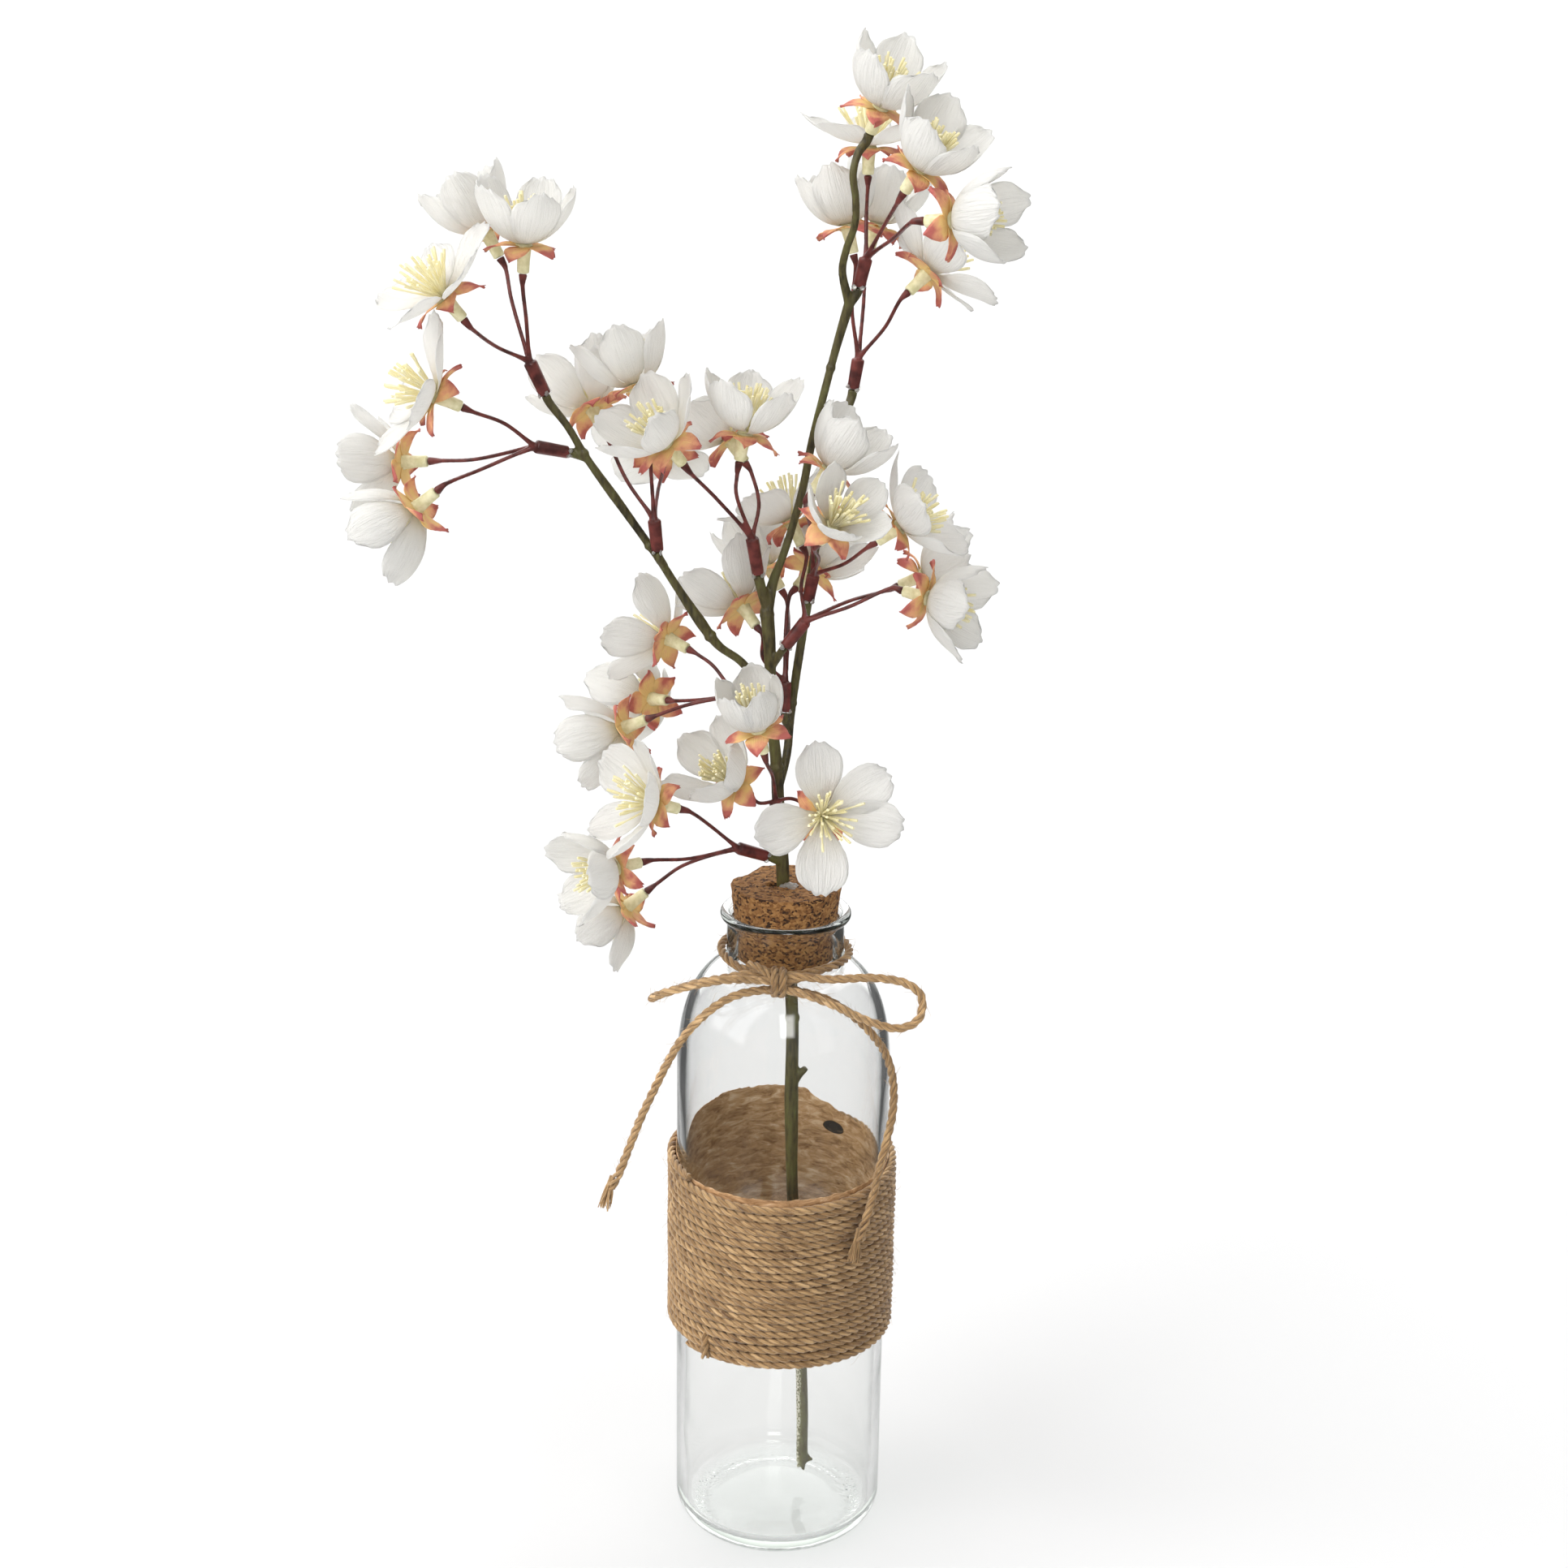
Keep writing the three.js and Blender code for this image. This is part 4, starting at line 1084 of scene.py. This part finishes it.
# The ways the petals point in the blossoms that show them plainly, in degrees. The others are evenly
# laid out, some turned on their own axis so that no petal cuts a neighbour's.
PETAL_TURNS = {
    "a1": (100, 28, -44, -148, 158), "a3": (-185, -113, -41, 31, 103), "b1": (62, 108, -158, -98, -10),
    "d2": (-140, -68, 4, 76, 148), "e2": (-177, -105, -33, 39, 111), "m1": (-160, -88, -16, 56, 128),
    "m2": (95, 20, -50, -122, 165), "m3": (96, 33, -11, -97, -171), "tip": (-185, -113, -41, 31, 103),
}
TURNED_ASIDE = {"c2": 24, "c3": -8, "d1": -28, "f1": -12, "h3": -12, "i2": -32, "i3": -8, "k1": -16,
                "k2": 16, "l1": -4}
SMALLER = {"g2": 0.84, "m1": 0.88, "l3": 0.92}
flowers = {f"{letter}{n}": bloom for letter, (_, _, blooms) in SPRIGS.items()
           for n, bloom in enumerate(blooms, 1)}
flowers["tip"] = TIP_BLOOM
for name, bloom in flowers.items():
    first = 90 + TURNED_ASIDE.get(name, 0)
    angles = PETAL_TURNS.get(name) or [first + 360 // PETALS * k for k in range(PETALS)]
    node = "flower_" + name
    dress(corolla(node + "_petals", bloom, angles, SMALLER.get(name, 1)), petal, "blossom", node)
    dress(calyx(node + "_calyx", bloom, angles), sepal, "blossom", node)
    dress(receptacle(node + "_tube", bloom), tube_green, "blossom", node)
    dress(stamens(node + "_stamens", bloom), thread, "blossom", node)

# Glue: clear and set, left as a blob beside the stem on the cork and as ragged bits at the foot of
# each sleeve. It has no solid of its own.
CORK_GLUE = [((0.9, -2.9, 250.8), (2.1, 1.8, 1.2)), ((2.2, -4.2, 250.6), (1.7, 1.6, 0.7)),
             ((-0.6, -3.3, 250.6), (1.5, 1.2, 0.8)), ((3.2, -1.6, 250.5), (1.2, 1.5, 0.5))]
SLEEVE_BITS, SLEEVE_OUT = 4, 1.9


def lump(shape, centre, size):
    """A squashed, uneven ball."""
    for vertex in bmesh.ops.create_icosphere(shape, subdivisions=3, radius=1)["verts"]:
        uneven = 1 + 0.5 * noise.noise(vertex.co * 1.7 + Vector(centre))
        vertex.co = Vector(c + v * s * uneven for c, v, s in zip(centre, vertex.co, size)) * MM


shape = bmesh.new()
for centre, size in CORK_GLUE:
    lump(shape, centre, size)
for letter, (seat, _, _) in SPRIGS.items():
    direction = sleeve_way(letter)
    side = direction.orthogonal().normalized() * SLEEVE_OUT
    for k in range(SLEEVE_BITS):
        turn = 2 * math.pi * (k + chance.uniform(-0.3, 0.3)) / SLEEVE_BITS
        about = Matrix.Rotation(turn, 3, direction)
        centre = Vector(seat) + about @ side + direction * chance.uniform(-0.5, 0.6)
        lump(shape, tuple(centre), [chance.uniform(0.5, 0.95) for _ in range(3)])
glue_bits = keep("glue_bits", shape)
glue = finish_of("clear_glue", Roughness=0.35, IOR=1.45, Base_Color=(0.93, 0.92, 0.88, 1),
                 Transmission_Weight=0.8)[0]
dress(glue_bits, glue, "glass")

# Stage: a plain pale floor that runs out of sight under a white backdrop. The light comes from above
# and from a soft window on the left. Beside and before a sheet of paper the floor is painted dark
# for rays that a surface has mirrored: a painted reflection of dark surroundings, as past the edges
# of a studio table.
FLOOR_HALF = 40
PAPER_HALF, PAPER_FADED, PAPER_FRONT, FRONT_FADED = 0.15, 0.25, -0.14, -0.3
PAPER, PAINTED_MIRROR_DARK = (0.6, 0.6, 0.6), (0.04, 0.04, 0.04)
shape = bmesh.new()
bmesh.ops.create_grid(shape, x_segments=1, y_segments=1, size=FLOOR_HALF)
floor = keep("studio_floor", shape, smooth=False)


def mirrored_ray(tree):
    """One for a ray that a surface has mirrored, nought for one that has only passed through glass."""
    return figure(tree, "GREATER_THAN", put(tree, "ShaderNodeLightPath").outputs["Glossy Depth"], 0.5)


paper, tree, shader = finish_of("studio_paper", Roughness=0.9)
split = parts_of(tree, put(tree, "ShaderNodeNewGeometry").outputs["Position"])
beside = ranged(tree, figure(tree, "ABSOLUTE", split["X"]), PAPER_HALF, PAPER_FADED)
before = ranged(tree, split["Y"], PAPER_FRONT, FRONT_FADED)
# Painted reflection: beside and before the paper, only mirrored rays see the floor dark.
painted_in_mirrors = figure(tree, "MULTIPLY", figure(tree, "MAXIMUM", beside, before), mirrored_ray(tree))
color_by(shader, painted_in_mirrors, (0, PAPER), (1, PAINTED_MIRROR_DARK))
floor.data.materials.append(paper)

# Room round the stage: grey, and darker on both sides, with soft-edged windows. Their half sizes are
# sines of angles. Each has one power as plain light and one for rays that a surface has mirrored.
Window = namedtuple("Window", "toward half_wide half_high edge power mirrored_power")
WINDOWS = [
    Window((-0.9, -0.35, 0.6), 0.36, 0.4, 0.08, 4.2, 1.47),
    Window((0.8, -0.7, 0.5), 0.12, 0.4, 0.08, 0.4, 0.4),
    Window((0, 0.1, 1), 0.5, 0.5, 0.08, 1.6, 1.6),
    Window((0, -1, 0.25), 0.6, 0.3, 0.08, 1.2, 0),
    Window((0, 1, 0.2), 0.62, 0.6, 0.08, 1.8, 1.8),
    Window((0.07, -0.85, 0.52), 0.1, 0.2, 0.07, 0, 7),
]
WALLS, DARK_WALLS = (0.3, 0.3, 0.3), (0.06, 0.06, 0.065)
world = bpy.data.worlds.new("studio")
bpy.context.scene.world = world
world.use_nodes = True
tree = world.node_tree
way = put(tree, "ShaderNodeTexCoord").outputs["Generated"]
mirror = mirrored_ray(tree)
aside = figure(tree, "ABSOLUTE", parts_of(tree, way)["X"])
glow = ramp(tree, aside, (0.5, WALLS), (0.7, DARK_WALLS), (0.9, DARK_WALLS), (0.98, WALLS))
for window in WINDOWS:
    ahead = Vector(window.toward).normalized()
    side = ahead.cross(Vector((0, 0, 1))).normalized()
    mask = figure(tree, "GREATER_THAN", vectors(tree, "DOT_PRODUCT", way, ahead), 0)
    for axis, half in ((side, window.half_wide), (ahead.cross(side), window.half_high)):
        off = figure(tree, "ABSOLUTE", vectors(tree, "DOT_PRODUCT", way, axis))
        mask = figure(tree, "MULTIPLY", mask, ranged(tree, off, half + window.edge, half))
    power = ranged(tree, mirror, low=window.power, high=window.mirrored_power)
    glow = vectors(tree, "ADD", glow, figure(tree, "MULTIPLY", mask, power))
lighting = put(tree, "ShaderNodeBackground", {"Color": glow})
backdrop = put(tree, "ShaderNodeBackground", {"Color": (1, 1, 1, 1)})
seen = put(tree, "ShaderNodeLightPath").outputs["Is Camera Ray"]
whole = put(tree, "ShaderNodeMixShader", {0: seen, 1: lighting.outputs[0], 2: backdrop.outputs[0]})
tree.links.new(whole.outputs[0], tree.nodes["World Output"].inputs["Surface"])
bpy.context.scene.view_settings.view_transform = "Standard"
